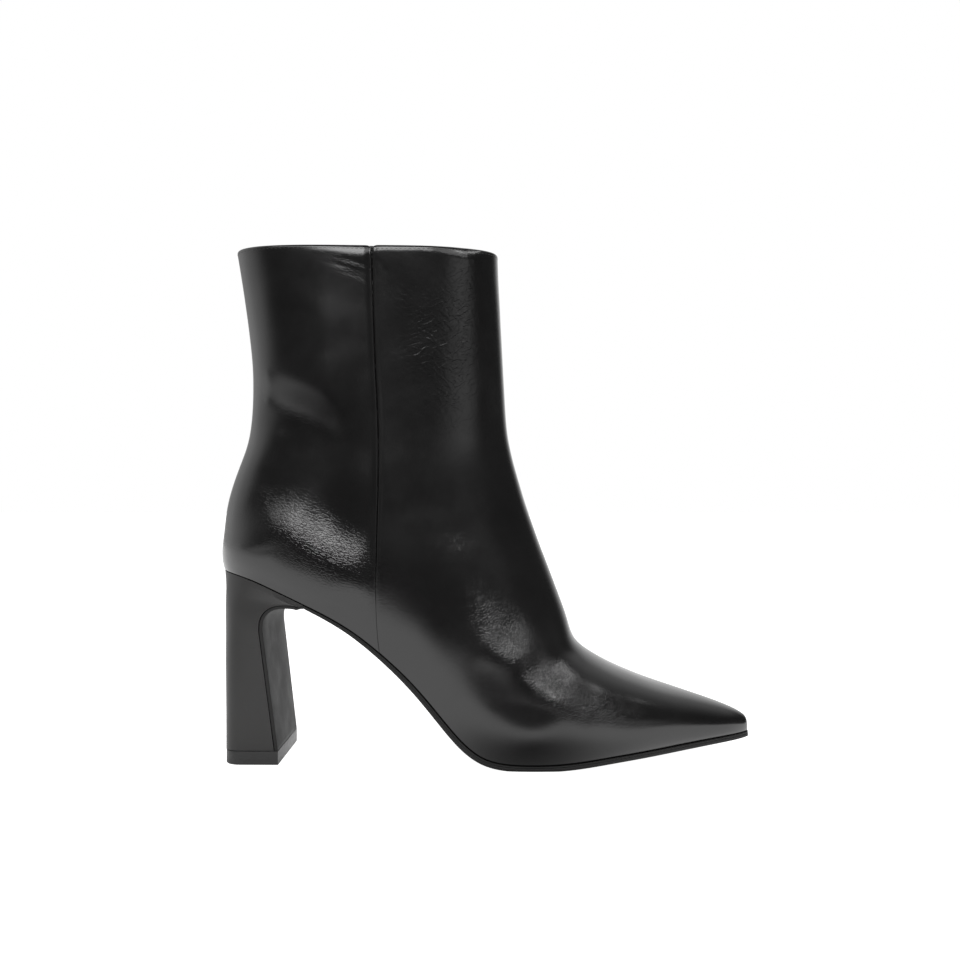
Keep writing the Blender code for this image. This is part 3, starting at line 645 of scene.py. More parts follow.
def foldRelief(points):
    x, y, z = points.T
    relief = np.zeros(len(points))
    endDepth, endShare = foldFade["end"]
    pastSeam, seamLength = foldFade["seam"]
    for fold in upperFolds:
        far, along, over = (levelDistance if fold.get("level") else pathDistance)(x, z, fold["path"])
        fade = endDepth + (1.0 - endDepth) * softStep(np.minimum(along, 1.0 - along) / endShare)
        if fold.get("panel") == "lateral":
            fade = fade * np.clip(0.5 - y / foldFade["lateral"], 0.0, 1.0)
        if fold.get("panel") == "back":  # ends at the seam and dies out over the back line
            fade = fade * softStep((seamLine(z) + pastSeam - x) / seamLength)
            fade = fade * softStep(np.abs(y) / foldFade["backLine"])
        share = softStep(0.5 + 0.5 * np.clip(over, -1.0, 1.0))  # 1 above the path, 0 under it
        width = fold["width"] + (fold.get("above", fold["width"]) - fold["width"]) * share
        relief += fold["depth"] * np.exp(-(far / width) ** 2) * fade
    return relief


def fromEdge(far, reach):
    return np.clip(1.0 - far / reach, 0.0, 1.0)


def seamRelief(far, z, front):
    values = upperPiece
    crest = values["seamCrest"] * values["seamGap"]
    start, length, low = values["seamLow"]
    groove = -values["seamDepth"] * fromEdge(far, values["seamGap"]) ** 1.5
    rise = np.clip(far / crest, 0.0, 1.0)
    fall = softStep((values["seamFade"] - far) / (values["seamFade"] - crest))
    roll = values["seamRoll"] * np.sin(0.5 * math.pi * rise) * fall
    strength = np.clip((z - start) / length, 0.0, 1.0)
    shoulder = -values["shoulder"] * fromEdge(far, values["shoulderReach"]) ** 2 * front
    return groove * (low + (1.0 - low) * strength) + (roll + shoulder) * strength


def edgeRound(far, radius):
    return radius * (1.0 - np.sqrt(np.clip(1.0 - fromEdge(far, radius) ** 2, 0.0, 1.0)))


def patchWeight(points, patch):
    x, _, z = points.T
    cx, cz, longRadius, shortRadius, lean, amount = patch
    c, s = math.cos(math.radians(lean)), math.sin(math.radians(lean))
    a = ((x - cx) * c + (z - cz) * s) / longRadius
    b = (-(x - cx) * s + (z - cz) * c) / shortRadius
    return amount * np.exp(-(a * a + b * b))


def grainMaps(points):
    maps = {}
    for name, patches in wrinklePatches.items():
        weights = [patchWeight(points, patch) for patch in patches]
        maps[name] = np.maximum(np.max(weights, axis=0), grainFloors.get(name, 0.0))
    return maps


def panelFaces(ids):
    corners = np.stack([ids[:-1, :-1], ids[:-1, 1:], ids[1:, 1:], ids[1:, :-1]], axis=-1).reshape(-1, 4)
    return [tuple(dict.fromkeys(row)) for row in corners.tolist()]


def turnedOver(faces):
    return [face[::-1] for face in faces]


liningRing = ((0, 0), (0, 1), (0, 2), (1, 2), (2, 2), (2, 1), (2, 0), (1, 0))   # round a square of four faces


def liningFaces(ids, onRim, insideOf):
    faces = []
    for i in range(0, ids.shape[0] - 2, 2):
        for j in range(0, ids.shape[1] - 2, 2):
            ring = [ids[i + down, j + across] for down, across in liningRing]
            face = []
            for step, spot in enumerate(ring):
                if step % 2 == 0:
                    face.append(int(insideOf[spot]))
                elif onRim[spot] and onRim[ring[step - 1]] and onRim[ring[(step + 1) % 8]]:
                    face.append(int(spot))
            face = list(dict.fromkeys(face))
            if len(face) > 2:
                faces.append(tuple(face[::-1]))
    return faces


def vertexNormals(points, faces):
    normals = np.zeros_like(points)
    for size in (3, 4):
        part = np.array([face for face in faces if len(face) == size], int)
        area = np.cross(points[part[:, 2]] - points[part[:, 0]], points[part[:, -1]] - points[part[:, 1]])
        for corner in range(size):
            np.add.at(normals, part[:, corner], area)
    return normals / np.linalg.norm(normals, axis=1)[:, None]


def upperGrid():
    values = upperPiece
    rings = values["foreRings"]
    footPlace, footShare = (float(v) for v in locatePlace(seamFoot, seatLine(seamFoot)))
    points, seamFar = [skinPoint(np.array(0.0), np.array(0.5), 1)], [values["noSeam"]]
    points[0][2] = seatLine(points[0][0])
    frontRows, backRowsMade = [], []

    def store(row, far):
        first = len(points)
        points.extend(row)
        seamFar.extend(far)
        return np.arange(first, first + len(row))

    for i in range(1, rings + 1):
        place = footPlace * (i / rings) ** values["foreCrowd"]
        share = footShare if i == rings else float(seatShare(np.array(place)))
        row, far = frontRow(place, share)
        frontRows.append(store(row, np.full(len(far), values["noSeam"])))
    for k, share in enumerate(seamShares()):
        row, far = backRow(share)
        if k > 0:
            place, sectionShare = locatePlace(row[0, 0], row[0, 2])
            frontRows.append(store(*frontRow(float(place), float(sectionShare))))
        seamIds = frontRows[-1]
        middle = store(row[1:-1], far[1:-1])
        backRowsMade.append(np.concatenate([[seamIds[0]], middle, [seamIds[-1]]]))
    frontIds = np.array([np.zeros(len(frontRows[0]), int)] + frontRows)
    return np.array(points), np.array(seamFar), frontIds, np.array(backRowsMade)


def makeUpper():
    values = upperPiece
    rings = values["foreRings"]
    points, seamFar, frontIds, backIds = upperGrid()
    faces = panelFaces(frontIds) + turnedOver(panelFaces(backIds))
    normals = vertexNormals(points, faces)
    # rims are the foot line and the collar
    onRim = np.zeros(len(points), bool)
    onRim[frontIds[:rings + 1, [0, -1]]] = True
    onRim[backIds[0]] = onRim[backIds[-1]] = onRim[frontIds[-1]] = True
    x, _, z = points.T
    footFar = np.clip(z - seatLine(x), 0.0, None) / np.sqrt(1.0 + seatSlope(x) ** 2)
    footFar[onRim & (footFar < 1.0)] = 0.0
    collarFar = np.clip(collarLine(x) - z, 0.0, None)
    edge = np.maximum(edgeRound(collarFar, values["collarRound"]), edgeRound(footFar, values["footRound"]))
    collarCalm, footCalm = values["waveCalm"]
    calm = np.clip(np.minimum(collarFar / collarCalm, footFar / footCalm), 0.0, 1.0)
    folds = foldRelief(points) * softStep(footFar / values["foldCalm"])
    broad, fine = values["waveScales"]
    wave = np.array([noise.noise(Vector(p * broad)) + 0.5 * noise.noise(Vector(p * fine)) for p in points])
    seamFull, seamLeast = values["seamTop"]
    relief = folds + values["waviness"] * wave * calm
    relief += seamRelief(seamFar, z, x > seamLine(z)) * np.clip(collarFar / seamFull, seamLeast, 1.0)
    rollX, rollFar, rollTall = zip(*values["rollIn"])
    lean = np.interp(x, rollX, rollFar) * fromEdge(collarFar, np.interp(x, rollX, rollTall)) ** 2
    skin = points + normals * (relief - lean - edge)[:, None]
    notchDepth, notchWidth, notchTall = values["notch"]
    skin[:, 2] -= notchDepth * np.exp(-(seamFar / notchWidth) ** 2) * fromEdge(collarFar, notchTall)
    # lining: every second row and column of the same grid, one wall inside
    inner = points + normals * (folds - values["wall"] + edge - lean)[:, None]
    insideOf = np.arange(len(points))
    used = np.unique(np.concatenate([frontIds[::2, ::2].ravel(), backIds[::2, ::2].ravel()]))
    used = used[~onRim[used]]
    insideOf[used] = len(points) + np.arange(len(used))
    vertices = np.concatenate([skin, inner[used]])
    inside = liningFaces(frontIds, onRim, insideOf) + turnedOver(liningFaces(backIds, onRim, insideOf))
    materials = [makeLeather(), makeLining("soft_lining", liningFinish)]
    upper = newPiece("upper_skin", vertices, faces + inside, materials, [0] * len(faces) + [1] * len(inside))
    for name, weight in grainMaps(vertices).items():
        upper.data.attributes.new(name, "FLOAT", "POINT").data.foreach_set("value", weight.astype(np.float32))
    dressed(upper, "upper")
    return {"points": skin, "normals": normals, "frontIds": frontIds, "backIds": backIds}


upperLines = makeUpper()


# stitches: short threads set along a line
threadPiece = {
    "collarDrop": 1.5,
    "collarRows": 20,        # rows under the collar that are searched for the line
    "collarLift": 0.02,
    "collar": (2.0, 1.35, 0.24),   # pitch, length, thickness
    "seam": (2.7, 0.9, 0.16),
    "seamLift": 0.1,
    "seamStart": 76.0,
    "seamEnds": 8,           # rows left without stitches at both ends
    "vary": (0.9, 1.06),
    "seed": 7,
    "darkTone": (0.010, 0.010, 0.010),
    "paleTone": (0.030, 0.029, 0.028),
    "twistScale": 900.0,
    "bump": (0.5, 0.0001),
    "roughness": 0.5,
}


def makeThread():
    values = threadPiece
    material, tree, shader, place = newMaterial("black_thread")
    twist = waveNode(tree, place, "DIAGONAL", values["twistScale"])
    tone = toneMix(tree, twist, values["darkTone"], values["paleTone"])
    finishShader(tree, shader, tone, values["roughness"], twist, values)
    return material


def makeStitchTree():
    tree = bpy.data.node_groups.new("stitchRow", "GeometryNodeTree")
    face = tree.interface
    for name, kind in (("Geometry", "Geometry"), ("Pitch", "Float"), ("Length", "Float"),
                       ("Thickness", "Float"), ("Seed", "Int"), ("Thread", "Material")):
        face.new_socket(name, in_out="INPUT", socket_type="NodeSocket" + kind)
    face.new_socket("Geometry", in_out="OUTPUT", socket_type="NodeSocketGeometry")
    given = tree.nodes.new("NodeGroupInput").outputs
    asCurve = addNode(tree, "GeometryNodeMeshToCurve")
    spaced = addNode(tree, "GeometryNodeResampleCurve", {"mode": "LENGTH"})
    ball = addNode(tree, "GeometryNodeMeshUVSphere", Segments=8, Rings=6, Radius=0.5)
    sized = addNode(tree, "ShaderNodeCombineXYZ")
    shaped = addNode(tree, "GeometryNodeTransform")
    tangent = addNode(tree, "GeometryNodeInputTangent")
    outward = addNode(tree, "GeometryNodeInputNamedAttribute", {"data_type": "FLOAT_VECTOR"}, Name="outward")
    turned = addNode(tree, "FunctionNodeAlignRotationToVector", {"axis": "X"})
    rolled = addNode(tree, "FunctionNodeAlignRotationToVector", {"axis": "Z", "pivot_axis": "X"})
    varied = addNode(tree, "FunctionNodeRandomValue", {"data_type": "FLOAT"})
    varied.inputs[2].default_value, varied.inputs[3].default_value = threadPiece["vary"]
    placed = addNode(tree, "GeometryNodeInstanceOnPoints")
    real = addNode(tree, "GeometryNodeRealizeInstances")
    threaded = addNode(tree, "GeometryNodeSetMaterial")
    result = tree.nodes.new("NodeGroupOutput")
    joinNodes(
        tree, (given["Geometry"], asCurve.inputs["Mesh"]), (asCurve.outputs[0], spaced.inputs["Curve"]),
        (given["Pitch"], spaced.inputs["Length"]), (given["Length"], sized.inputs[0]),
        (given["Thickness"], sized.inputs[1]), (given["Thickness"], sized.inputs[2]),
        (ball.outputs["Mesh"], shaped.inputs["Geometry"]), (sized.outputs[0], shaped.inputs["Scale"]),
        (tangent.outputs[0], turned.inputs["Vector"]), (turned.outputs[0], rolled.inputs["Rotation"]),
        (outward.outputs["Attribute"], rolled.inputs["Vector"]), (given["Seed"], varied.inputs["Seed"]),
        (spaced.outputs[0], placed.inputs["Points"]), (shaped.outputs[0], placed.inputs["Instance"]),
        (rolled.outputs[0], placed.inputs["Rotation"]), (varied.outputs[1], placed.inputs["Scale"]),
        (placed.outputs[0], real.inputs[0]), (real.outputs[0], threaded.inputs["Geometry"]),
        (given["Thread"], threaded.inputs["Material"]), (threaded.outputs[0], result.inputs[0]),
    )
    return tree


def stitchLine(name, runs, sizes, thread, tree):
    points, edges, outward = [], [], []
    for line, normals, closed in runs:
        first = len(points)
        points.extend(line)
        outward.extend(normals)
        edges += [(first + k, first + k + 1) for k in range(len(line) - 1)]
        if closed:
            edges.append((len(points) - 1, first))
    mesh = bpy.data.meshes.new(name)
    mesh.from_pydata([tuple(p) for p in rowFrame(points)], edges, [])
    mesh.attributes.new("outward", "FLOAT_VECTOR", "POINT").data.foreach_set("vector", np.ravel(outward))
    stitches = bpy.data.objects.new(name, mesh)
    scene.collection.objects.link(stitches)
    modifier = stitches.modifiers.new("stitches", "NODES")
    modifier.node_group = tree
    given = {key: size * millimetre for key, size in zip(("Pitch", "Length", "Thickness"), sizes)}
    given.update({"Seed": threadPiece["seed"], "Thread": thread})
    for item in tree.interface.items_tree:
        if item.in_out == "INPUT" and item.name in given:
            modifier[item.identifier] = given[item.name]
    bakeModifiers(stitches)
    smoothFaces(stitches.data)
    dressed(stitches)


def collarRun():
    points, rows = upperLines["points"], threadPiece["collarRows"]
    found = []
    for ids in (upperLines["frontIds"], upperLines["backIds"]):
        heights = points[ids[-rows:], 2]
        nearest = np.argmin(np.abs(heights - (heights[-1] - threadPiece["collarDrop"])), axis=0)
        found.append(ids[-rows:][nearest, np.arange(ids.shape[1])])
    ids = np.concatenate([found[0], found[1][-2:0:-1]])
    normals = upperLines["normals"][ids]
    return points[ids] + normals * threadPiece["collarLift"], normals, True


def seamRun(columnIndex):
    ends = threadPiece["seamEnds"]
    ids = upperLines["backIds"][ends:-ends, columnIndex]
    ids = ids[upperLines["points"][ids, 2] > threadPiece["seamStart"]]
    normals = upperLines["normals"][ids]
    return upperLines["points"][ids] + normals * threadPiece["seamLift"], normals, False


thread = makeThread()
stitchTree = makeStitchTree()
stitchLine("collar_stitches", [collarRun()], threadPiece["collar"], thread, stitchTree)
stitchLine("seam_stitches", [seamRun(0), seamRun(-1)], threadPiece["seam"], thread, stitchTree)


# sole: one sheet from the toe through the arch, round the fillet and down the heel's breast
solePiece = {
    "thick": 2.5,
    "thinWaist": ((40.0, 0.5), (62.0, 0.7), (85.0, 0.9), (110.0, 1.0)),   # x, share of the thickness
    "breastThick": 1.5,
    "ledge": 0.5,
    "ledgeShares": ((75.0, 0.15), (125.0, 1.0), (205.0, 0.9), (238.0, 0.35)),
    "bevel": 0.9,
    "breastBevel": 0.5,
    "grooveDepth": 0.3,
    "grooveFade": 25.0,      # length over which the groove dies out at the waist
    "toeTrim": 0.05,
    "fineSteps": 1200,
    "steps": 150,
    "endSteps": (0.0, 0.25, 0.7, 1.4, 2.4, 3.6, 5.0),
    "endClear": 1.15,
    "filletSteps": 26,
    "breastSteps": 30,
    "filletRadius": 10.0,
    "filletCentre": (33.0, 59.4),
    "filletStart": math.radians(62),
    "filletSquare": 0.8,     # under 1 the bend's top is flatter than an arc
    "filletRise": 0.9,
    "breastAngle": math.radians(187),
    "breastTop": 0.85,       # share of the heel's height where the breast starts
    "waistEnd": 8.2,
    "tipHeight": 6.0,
    "rubberDark": (0.013, 0.013, 0.013),
    "rubberPale": (0.026, 0.0255, 0.025),
    "cloud": (55.0, 5.0, 0.65),   # scale, detail, roughness
    "stipple": (2600.0, 2.0),
    "ribScale": 95.0,
    "ribHeight": 2.0,
    "underside": (-0.5, -0.9),
    "wear": 0.4,
    "rough": (0.55, 0.68),
    "bump": (0.25, 0.0002),
    "sockets": {"Specular IOR Level": 0.22},
}
heelPiece = {
    "rows": (  # share of the height, back x, back z, half width, roundness
        (0.0, 5.6, 6.3, 25.4, 0.0), (0.3, 5.4, 24.0, 25.8, 0.06), (0.6, 4.7, 46.0, 26.5, 0.25),
        (0.8, 3.7, 63.0, 27.2, 0.55), (1.0, 1.2, 83.6, 27.8, 1.0),
    ),
    "corner": 6.5,
    "inset": 0.2,
    "seatEnd": 0.05,         # angle left out at the back of the seat's outline
    "lipClear": 0.2,
    "lipAngle": math.radians(55),
    "breastShare": 0.78,
    "lipShare": 0.98,
    "sideSteps": 9,
    "cornerSteps": 9,
    "backSteps": 5,
    "edge": 0.35,
    "deepTone": (0.026, 0.0255, 0.0255),
    "liftTone": (0.034, 0.0335, 0.033),
    "cloud": (45.0, 4.0),    # scale, detail
    "pores": (1500.0, 3.0),
    "drawn": (330.0, 3.0),   # faint level lines where the cover was drawn round
    "flatten": (0.10, 0.10, 1.0),
    "lineRange": (0.60, 0.70),
    "lineDepth": 0.5,
    "rough": (0.36, 0.46),
    "bump": (0.22, 0.0002),
    "sockets": {"Specular IOR Level": 0.24},
}
heelTable = np.array(heelPiece["rows"])
heelAt = naturalCurve(heelTable[:, 0], heelTable[:, 1:])


def movedFeather(grow):
    halves = []
    for line, side in ((featherOut, -1.0), (featherIn, 1.0)):
        run = np.gradient(line[:, 0])
        rise = np.gradient(line[:, 1]) * side
        size = np.sqrt(run ** 2 + rise ** 2)
        far = grow(line[:, 0])
        x = line[:, 0] + far * rise / size
        y = line[:, 1] - side * far * run / size
        order = np.argsort(x)
        halves.append((x[order], y[order]))
    return halves


def soleLedge(x):
    return solePiece["ledge"] * np.interp(x, *zip(*solePiece["ledgeShares"]))


def halvesAt(x, halves):
    return tuple(float(np.interp(x, *half)) for half in halves)


def soleStations(first, last, bothEnds):
    fine = np.linspace(heelBack, toeX, solePiece["fineSteps"])
    walked = walkedLength(np.stack([fine, seatLine(fine)], axis=1))
    shared = np.interp(np.linspace(0.0, walked[-1], solePiece["steps"] + 1), walked, fine)
    near = solePiece["endSteps"]
    ends = [last - far for far in near] + ([first + far for far in near] if bothEnds else [first])
    clear = near[-1] * solePiece["endClear"]
    inside = (shared > first + clear) & (shared < last - clear)
    return np.sort(np.concatenate([shared[inside], ends]))


def plateRing(anchor, normal, thick, out, inner, bevel, groove):
    across = (0.25, 0.5, 0.75)
    width = inner - out
    bevel = min(bevel, 0.3 * width)
    lip = min(0.45, 0.25 * width)
    deep = groove * min(1.0, width / 8.0)
    edge = (  # inset from the edge, share of the thickness
        (bevel, 0.0), (0.45 * bevel, 0.05), (0.12 * bevel, 0.15), (0.0, 0.28), (0.0, 0.50),
        (0.1 * deep, 0.56), (deep, 0.62), (deep, 0.70), (0.1 * deep, 0.76), (0.02, 0.84), (0.25 * lip, 0.94),
        (lip, 1.0),
    )
    top = [(out + lip + (width - 2 * lip) * s, 1.0) for s in across]
    bottom = [(inner - bevel - (width - 2 * bevel) * s, 0.0) for s in across]
    profile = [(out + inset, s) for inset, s in edge] + top
    profile += [(inner - inset, s) for inset, s in edge[::-1]] + bottom
    return [(anchor[0] + normal[0] * s * thick, y, anchor[1] + normal[1] * s * thick) for y, s in profile]


def ringSkin(rings, capPairs=None):
    count = len(rings[0])
    faces = []
    for i in range(len(rings) - 1):
        a, b = i * count, (i + 1) * count
        faces += [(a + j, a + (j + 1) % count, b + (j + 1) % count, b + j) for j in range(count)]
    for start in (0, (len(rings) - 1) * count):
        if capPairs is None:
            faces.append(tuple(range(start, start + count)))
        else:
            faces += [(start + a, start + b, start + c, start + d) for a, b, c, d in capPairs]
    return np.array([p for ring in rings for p in ring]), faces


def heelHalf(share):
    return float(heelAt(share)[2])


def sheetThick(angle):
    turned = (angle - solePiece["filletStart"]) / (solePiece["breastAngle"] - solePiece["filletStart"])
    start = solePiece["thick"] * solePiece["thinWaist"][0][1]
    return start + (solePiece["breastThick"] - start) * turned


def filletSpot(angle, radius):
    centre = solePiece["filletCentre"]
    along, up = math.cos(angle), math.sin(angle)
    along = math.copysign(abs(along) ** solePiece["filletSquare"], along)
    if up > 0.0:
        up = solePiece["filletRise"] * up ** solePiece["filletSquare"]
    return centre[0] + radius * along, centre[1] + radius * up


def breastFoot():
    start = filletSpot(solePiece["breastAngle"], solePiece["filletRadius"])
    low = solePiece["tipHeight"] + lastForm["gap"]
    return start[0] + (start[1] - low) * math.tan(solePiece["breastAngle"] - math.pi), low


def makeRubber():
    values = solePiece
    material, tree, shader, place = newMaterial("sole_rubber")
    cloud = noiseNode(tree, place, *values["cloud"])
    stipple = noiseNode(tree, place, *values["stipple"])
    ribs = waveNode(tree, place, "DIAGONAL", values["ribScale"])
    under = rangeNode(tree, facingNode(tree)["Z"], *values["underside"])
    worn = mathNode(tree, "ADD", times(tree, cloud, values["wear"]), times(tree, under, cloud), True)
    tone = toneMix(tree, worn, values["rubberDark"], values["rubberPale"])
    height = plus(tree, stipple, times(tree, ribs, times(tree, under, values["ribHeight"])))
    finishShader(tree, shader, tone, rangeNode(tree, cloud, *noiseSpan, *values["rough"]), height, values)
    return material


def makeOutsole():
    values, gap = solePiece, lastForm["gap"]
    rings = []
    halves = movedFeather(soleLedge)
    toeEnd = min(x[-1] for x, _ in halves) - values["toeTrim"]
    waistEnd = values["filletCentre"][0] + values["waistEnd"]
    for x in soleStations(waistEnd, toeEnd, False)[::-1]:
        deep = gap + values["thick"] * float(np.interp(x, *zip(*values["thinWaist"])))
        nx, nz = seatNormal(x)
        top = (float(x - nx * gap), float(seatLine(x) - nz * gap))
        bottom = (float(x - nx * deep), max(float(seatLine(x) - nz * deep), 0.0))
        thick = math.hypot(top[0] - bottom[0], top[1] - bottom[1])
        normal = ((top[0] - bottom[0]) / thick, (top[1] - bottom[1]) / thick)
        out, inner = halvesAt(x, halves)
        groove = values["grooveDepth"] * min(1.0, max(0.0, (x - waistEnd) / values["grooveFade"]))
        rings.append(plateRing(bottom, normal, thick, out, inner, values["bevel"], groove))
    lastOut, lastIn = out, inner
    half = heelHalf(values["breastTop"])
    for i in range(1, values["filletSteps"] + 1):
        turned = i / values["filletSteps"]
        angle = values["filletStart"] + (values["breastAngle"] - values["filletStart"]) * turned
        normal = (math.cos(angle), math.sin(angle))
        anchor = filletSpot(angle, values["filletRadius"])
        out, inner = lastOut + (-half - lastOut) * turned, lastIn + (half - lastIn) * turned
        rings.append(plateRing(anchor, normal, sheetThick(angle), out, inner, values["breastBevel"], 0.0))
    foot = breastFoot()
    for i in range(1, values["breastSteps"] + 1):
        down = i / values["breastSteps"]
        spot = tuple(a + (b - a) * down for a, b in zip(anchor, foot))
        wide = half + (heelHalf(0.0) - half) * down
        rings.append(plateRing(spot, normal, values["breastThick"], -wide, wide, values["breastBevel"], 0.0))
    outsole = newPiece("outsole_sheet", *ringSkin(rings), [makeRubber()])
    outwardFaces(outsole)
    dressed(outsole, "outsole")


makeOutsole()


def blockOutline(length, half):
    values = heelPiece
    corner = values["corner"]
    count = values["sideSteps"]
    points = [(1.0 - k * (1.0 - corner / length) / count, half) for k in range(count)]
    for k in range(values["cornerSteps"]):
        turned = 0.5 * math.pi * k / (values["cornerSteps"] - 1)
        points.append((corner * (1.0 - math.sin(turned)) / length, half - corner * (1.0 - math.cos(turned))))
    for k in range(1, values["backSteps"] + 1):
        points.append((0.0, (half - corner) * (1.0 - k / (values["backSteps"] + 0.6))))
    return np.array(points)


def seatOutline(side, lip, back, count):
    turned = np.linspace(0.0, 0.5 * math.pi - heelPiece["seatEnd"], count)
    x = lip + (back - lip) * np.sin(turned)
    out, inner = featherAt(x + (heelBack - back) * (lip - x) / (lip - back))
    y = out if side < 0 else inner
    return np.stack([(x - back) / (lip - back), np.abs(y) - heelPiece["inset"]], axis=1)


def heelLevels():
    values = heelPiece
    gap = lastForm["gap"]
    levels = []
    foot = breastFoot()
    angle = solePiece["breastAngle"]
    top = filletSpot(angle, solePiece["filletRadius"])
    behind = solePiece["breastThick"] + gap
    for k in range(solePiece["breastSteps"]):
        up = k / solePiece["breastSteps"]
        spot = (foot[0] + (top[0] - foot[0]) * up + behind * math.cos(angle),
                foot[1] + (top[1] - foot[1]) * up + behind * math.sin(angle) * up)
        levels.append((values["breastShare"] * up, spot))
    for k in range(solePiece["filletSteps"] + 1):
        turned = k / solePiece["filletSteps"]
        here = angle + (values["lipAngle"] - angle) * turned
        spot = filletSpot(here, solePiece["filletRadius"] + sheetThick(here) + gap)
        levels.append((values["breastShare"] + (values["lipShare"] - values["breastShare"]) * turned, spot))
    lipX = levels[-1][1][0] + values["lipClear"]
    levels.append((1.0, (lipX, float(seatLine(lipX)) - gap)))
    return levels


def makeHeelCover():
    values = heelPiece
    material, tree, shader, place = newMaterial("heel_cover")
    cloud = noiseNode(tree, place, *values["cloud"])
    pores = noiseNode(tree, place, *values["pores"])
    flat = fedNode(tree, "ShaderNodeMapping", place, Scale=values["flatten"])[0]
    line = rangeNode(tree, noiseNode(tree, flat, *values["drawn"]), *values["lineRange"])
    depth = values["lineDepth"]
    height = mathNode(tree, "SUBTRACT", times(tree, pores, depth), times(tree, line, depth))
    tone = toneMix(tree, cloud, values["deepTone"], values["liftTone"])
    finishShader(tree, shader, tone, rangeNode(tree, cloud, *noiseSpan, *values["rough"]), height, values)
    return material


def softenEdges(piece, width):
    outwardFaces(piece)
    bevel = piece.modifiers.new("soften", "BEVEL")
    bevel.width = width * millimetre
    bevel.segments = 3
    bevel.limit_method = "ANGLE"
    bevel.angle_limit = math.radians(38.0)
    bevel.harden_normals = False
    bakeModifiers(piece)


def acrossPairs(count):
    return [(j, j + 1, count - 2 - j, count - 1 - j) for j in range(count // 2 - 1)]


def makeHeel():
    gap = lastForm["gap"]
    rings = []
    levels = heelLevels()
    lip = levels[-1][1]
    seatBack = float(heelAt(1.0)[0])
    topBack = float(seatLine(seatBack)) - gap
    for share, front in levels:
        back, backZ, half, roundness = (float(v) for v in heelAt(share))
        if share == 1.0:
            backZ = float(seatLine(back)) - gap
        length = front[0] - back
        foot = blockOutline(length, half)
        ring = []
        for side in (-1.0, 1.0):
            seat = seatOutline(side, lip[0], seatBack, len(foot))
            s, y = (foot + (seat - foot) * roundness).T
            topX = seatBack + (lip[0] - seatBack) * s
            bow = seatLine(topX) - gap - (topBack + (lip[1] - topBack) * s)
            z = backZ + (front[1] - backZ) * s + bow * share ** 4
            run = list(zip(back + length * s, side * y, z))
            ring += run if side < 0 else run[::-1]
        rings.append(ring)
    skin = ringSkin(rings, acrossPairs(len(rings[0])))
    heel = newPiece("heel_cover", *skin, [makeHeelCover()])
    softenEdges(heel, heelPiece["edge"])
    dressed(heel, "heel_block")


makeHeel()


tipPiece = {
    "height": 6.0,
    "inset": 0.1,
    "bevel": 0.6,
    "levels": ((1.0, 0.0), (0.35, 0.02), (0.0, 0.1), (0.0, 0.55), (0.0, 1.0)),   # shares of bevel, height
    "edge": 0.25,
    "sideTone": (0.016, 0.016, 0.016),
    "reflectionTone": (0.092, 0.092, 0.092),   # painted reflection: the front face is painted paler, standing in for the shine on the smooth plastic
    "front": (0.75, 0.95),
    "scuff": (420.0, 5.0, 0.7),   # scale, detail, roughness
    "reflectionShare": (0.5, 0.62),
    "sawn": (1600.0, 2.0),
    "sawnStretch": (1.0, 0.15, 1.0),
    "rough": (0.42, 0.58),
    "bump": (0.2, 0.0002),
}


def makeTipPlastic():
    values = tipPiece
    material, tree, shader, place = newMaterial("tip_plastic")
    front = rangeNode(tree, facingNode(tree)["X"], *values["front"])
    scuff = noiseNode(tree, place, *values["scuff"])
    lines = fedNode(tree, "ShaderNodeMapping", place, Scale=values["sawnStretch"])[0]
    sawn = noiseNode(tree, lines, *values["sawn"])
    share, least = values["reflectionShare"]
    # painted reflection: faces turned to the front get the paler tone, made uneven by the scuff noise
    amount = mathNode(tree, "MULTIPLY", front, plus(tree, times(tree, scuff, share), least), True)
    tone = toneMix(tree, amount, values["sideTone"], values["reflectionTone"])
    finishShader(tree, shader, tone, rangeNode(tree, scuff, *noiseSpan, *values["rough"]), sawn, values)
    return material


def makeTip():
    values = tipPiece
    back, half = float(heelAt(0.0)[0]) + values["inset"], heelHalf(0.0) - values["inset"]
    front = breastFoot()[0]
    rings = []
    for bevelShare, heightShare in values["levels"]:
        inset, z = bevelShare * values["bevel"], heightShare * values["height"]
        outline = blockOutline(front - back - inset, half - inset)
        run = [(back + inset + (front - back - inset) * s, y) for s, y in outline]
        rings.append([(x, -y, z) for x, y in run] + [(x, y, z) for x, y in run[::-1]])
    skin = ringSkin(rings, acrossPairs(len(rings[0])))
    tip = newPiece("heel_tip_cap", *skin, [makeTipPlastic()])
    softenEdges(tip, values["edge"])
    dressed(tip, "heel_tip")


makeTip()


insolePiece = {
    "thick": 2.6,
    "inset": 2.6,
    "bevel": 0.3,
    "endTrim": 0.1,
    "darkTone": (0.020, 0.019, 0.019),
    "paleTone": (0.036, 0.035, 0.034),
    "weaveScale": 150.0,
    "patchScale": 60.0,
    "bump": (0.4, 0.0002),
    "roughness": 0.7,
}


def makeInsole():
    values = insolePiece
    halves = movedFeather(lambda x: np.full(len(x), -values["inset"]))
    first = max(x[0] for x, _ in halves) + values["endTrim"]
    last = min(x[-1] for x, _ in halves) - values["endTrim"]
    rings = []
    for x in soleStations(first, last, True):
        nx, nz = seatNormal(x)
        rings.append(plateRing((float(x), float(seatLine(x))), (float(nx), float(nz)), values["thick"],
                               *halvesAt(x, halves), values["bevel"], 0.0))
    insole = newPiece("insole_sock", *ringSkin(rings), [makeLining("insole_sock", values)])
    outwardFaces(insole)
    dressed(insole, "insole")


makeInsole()


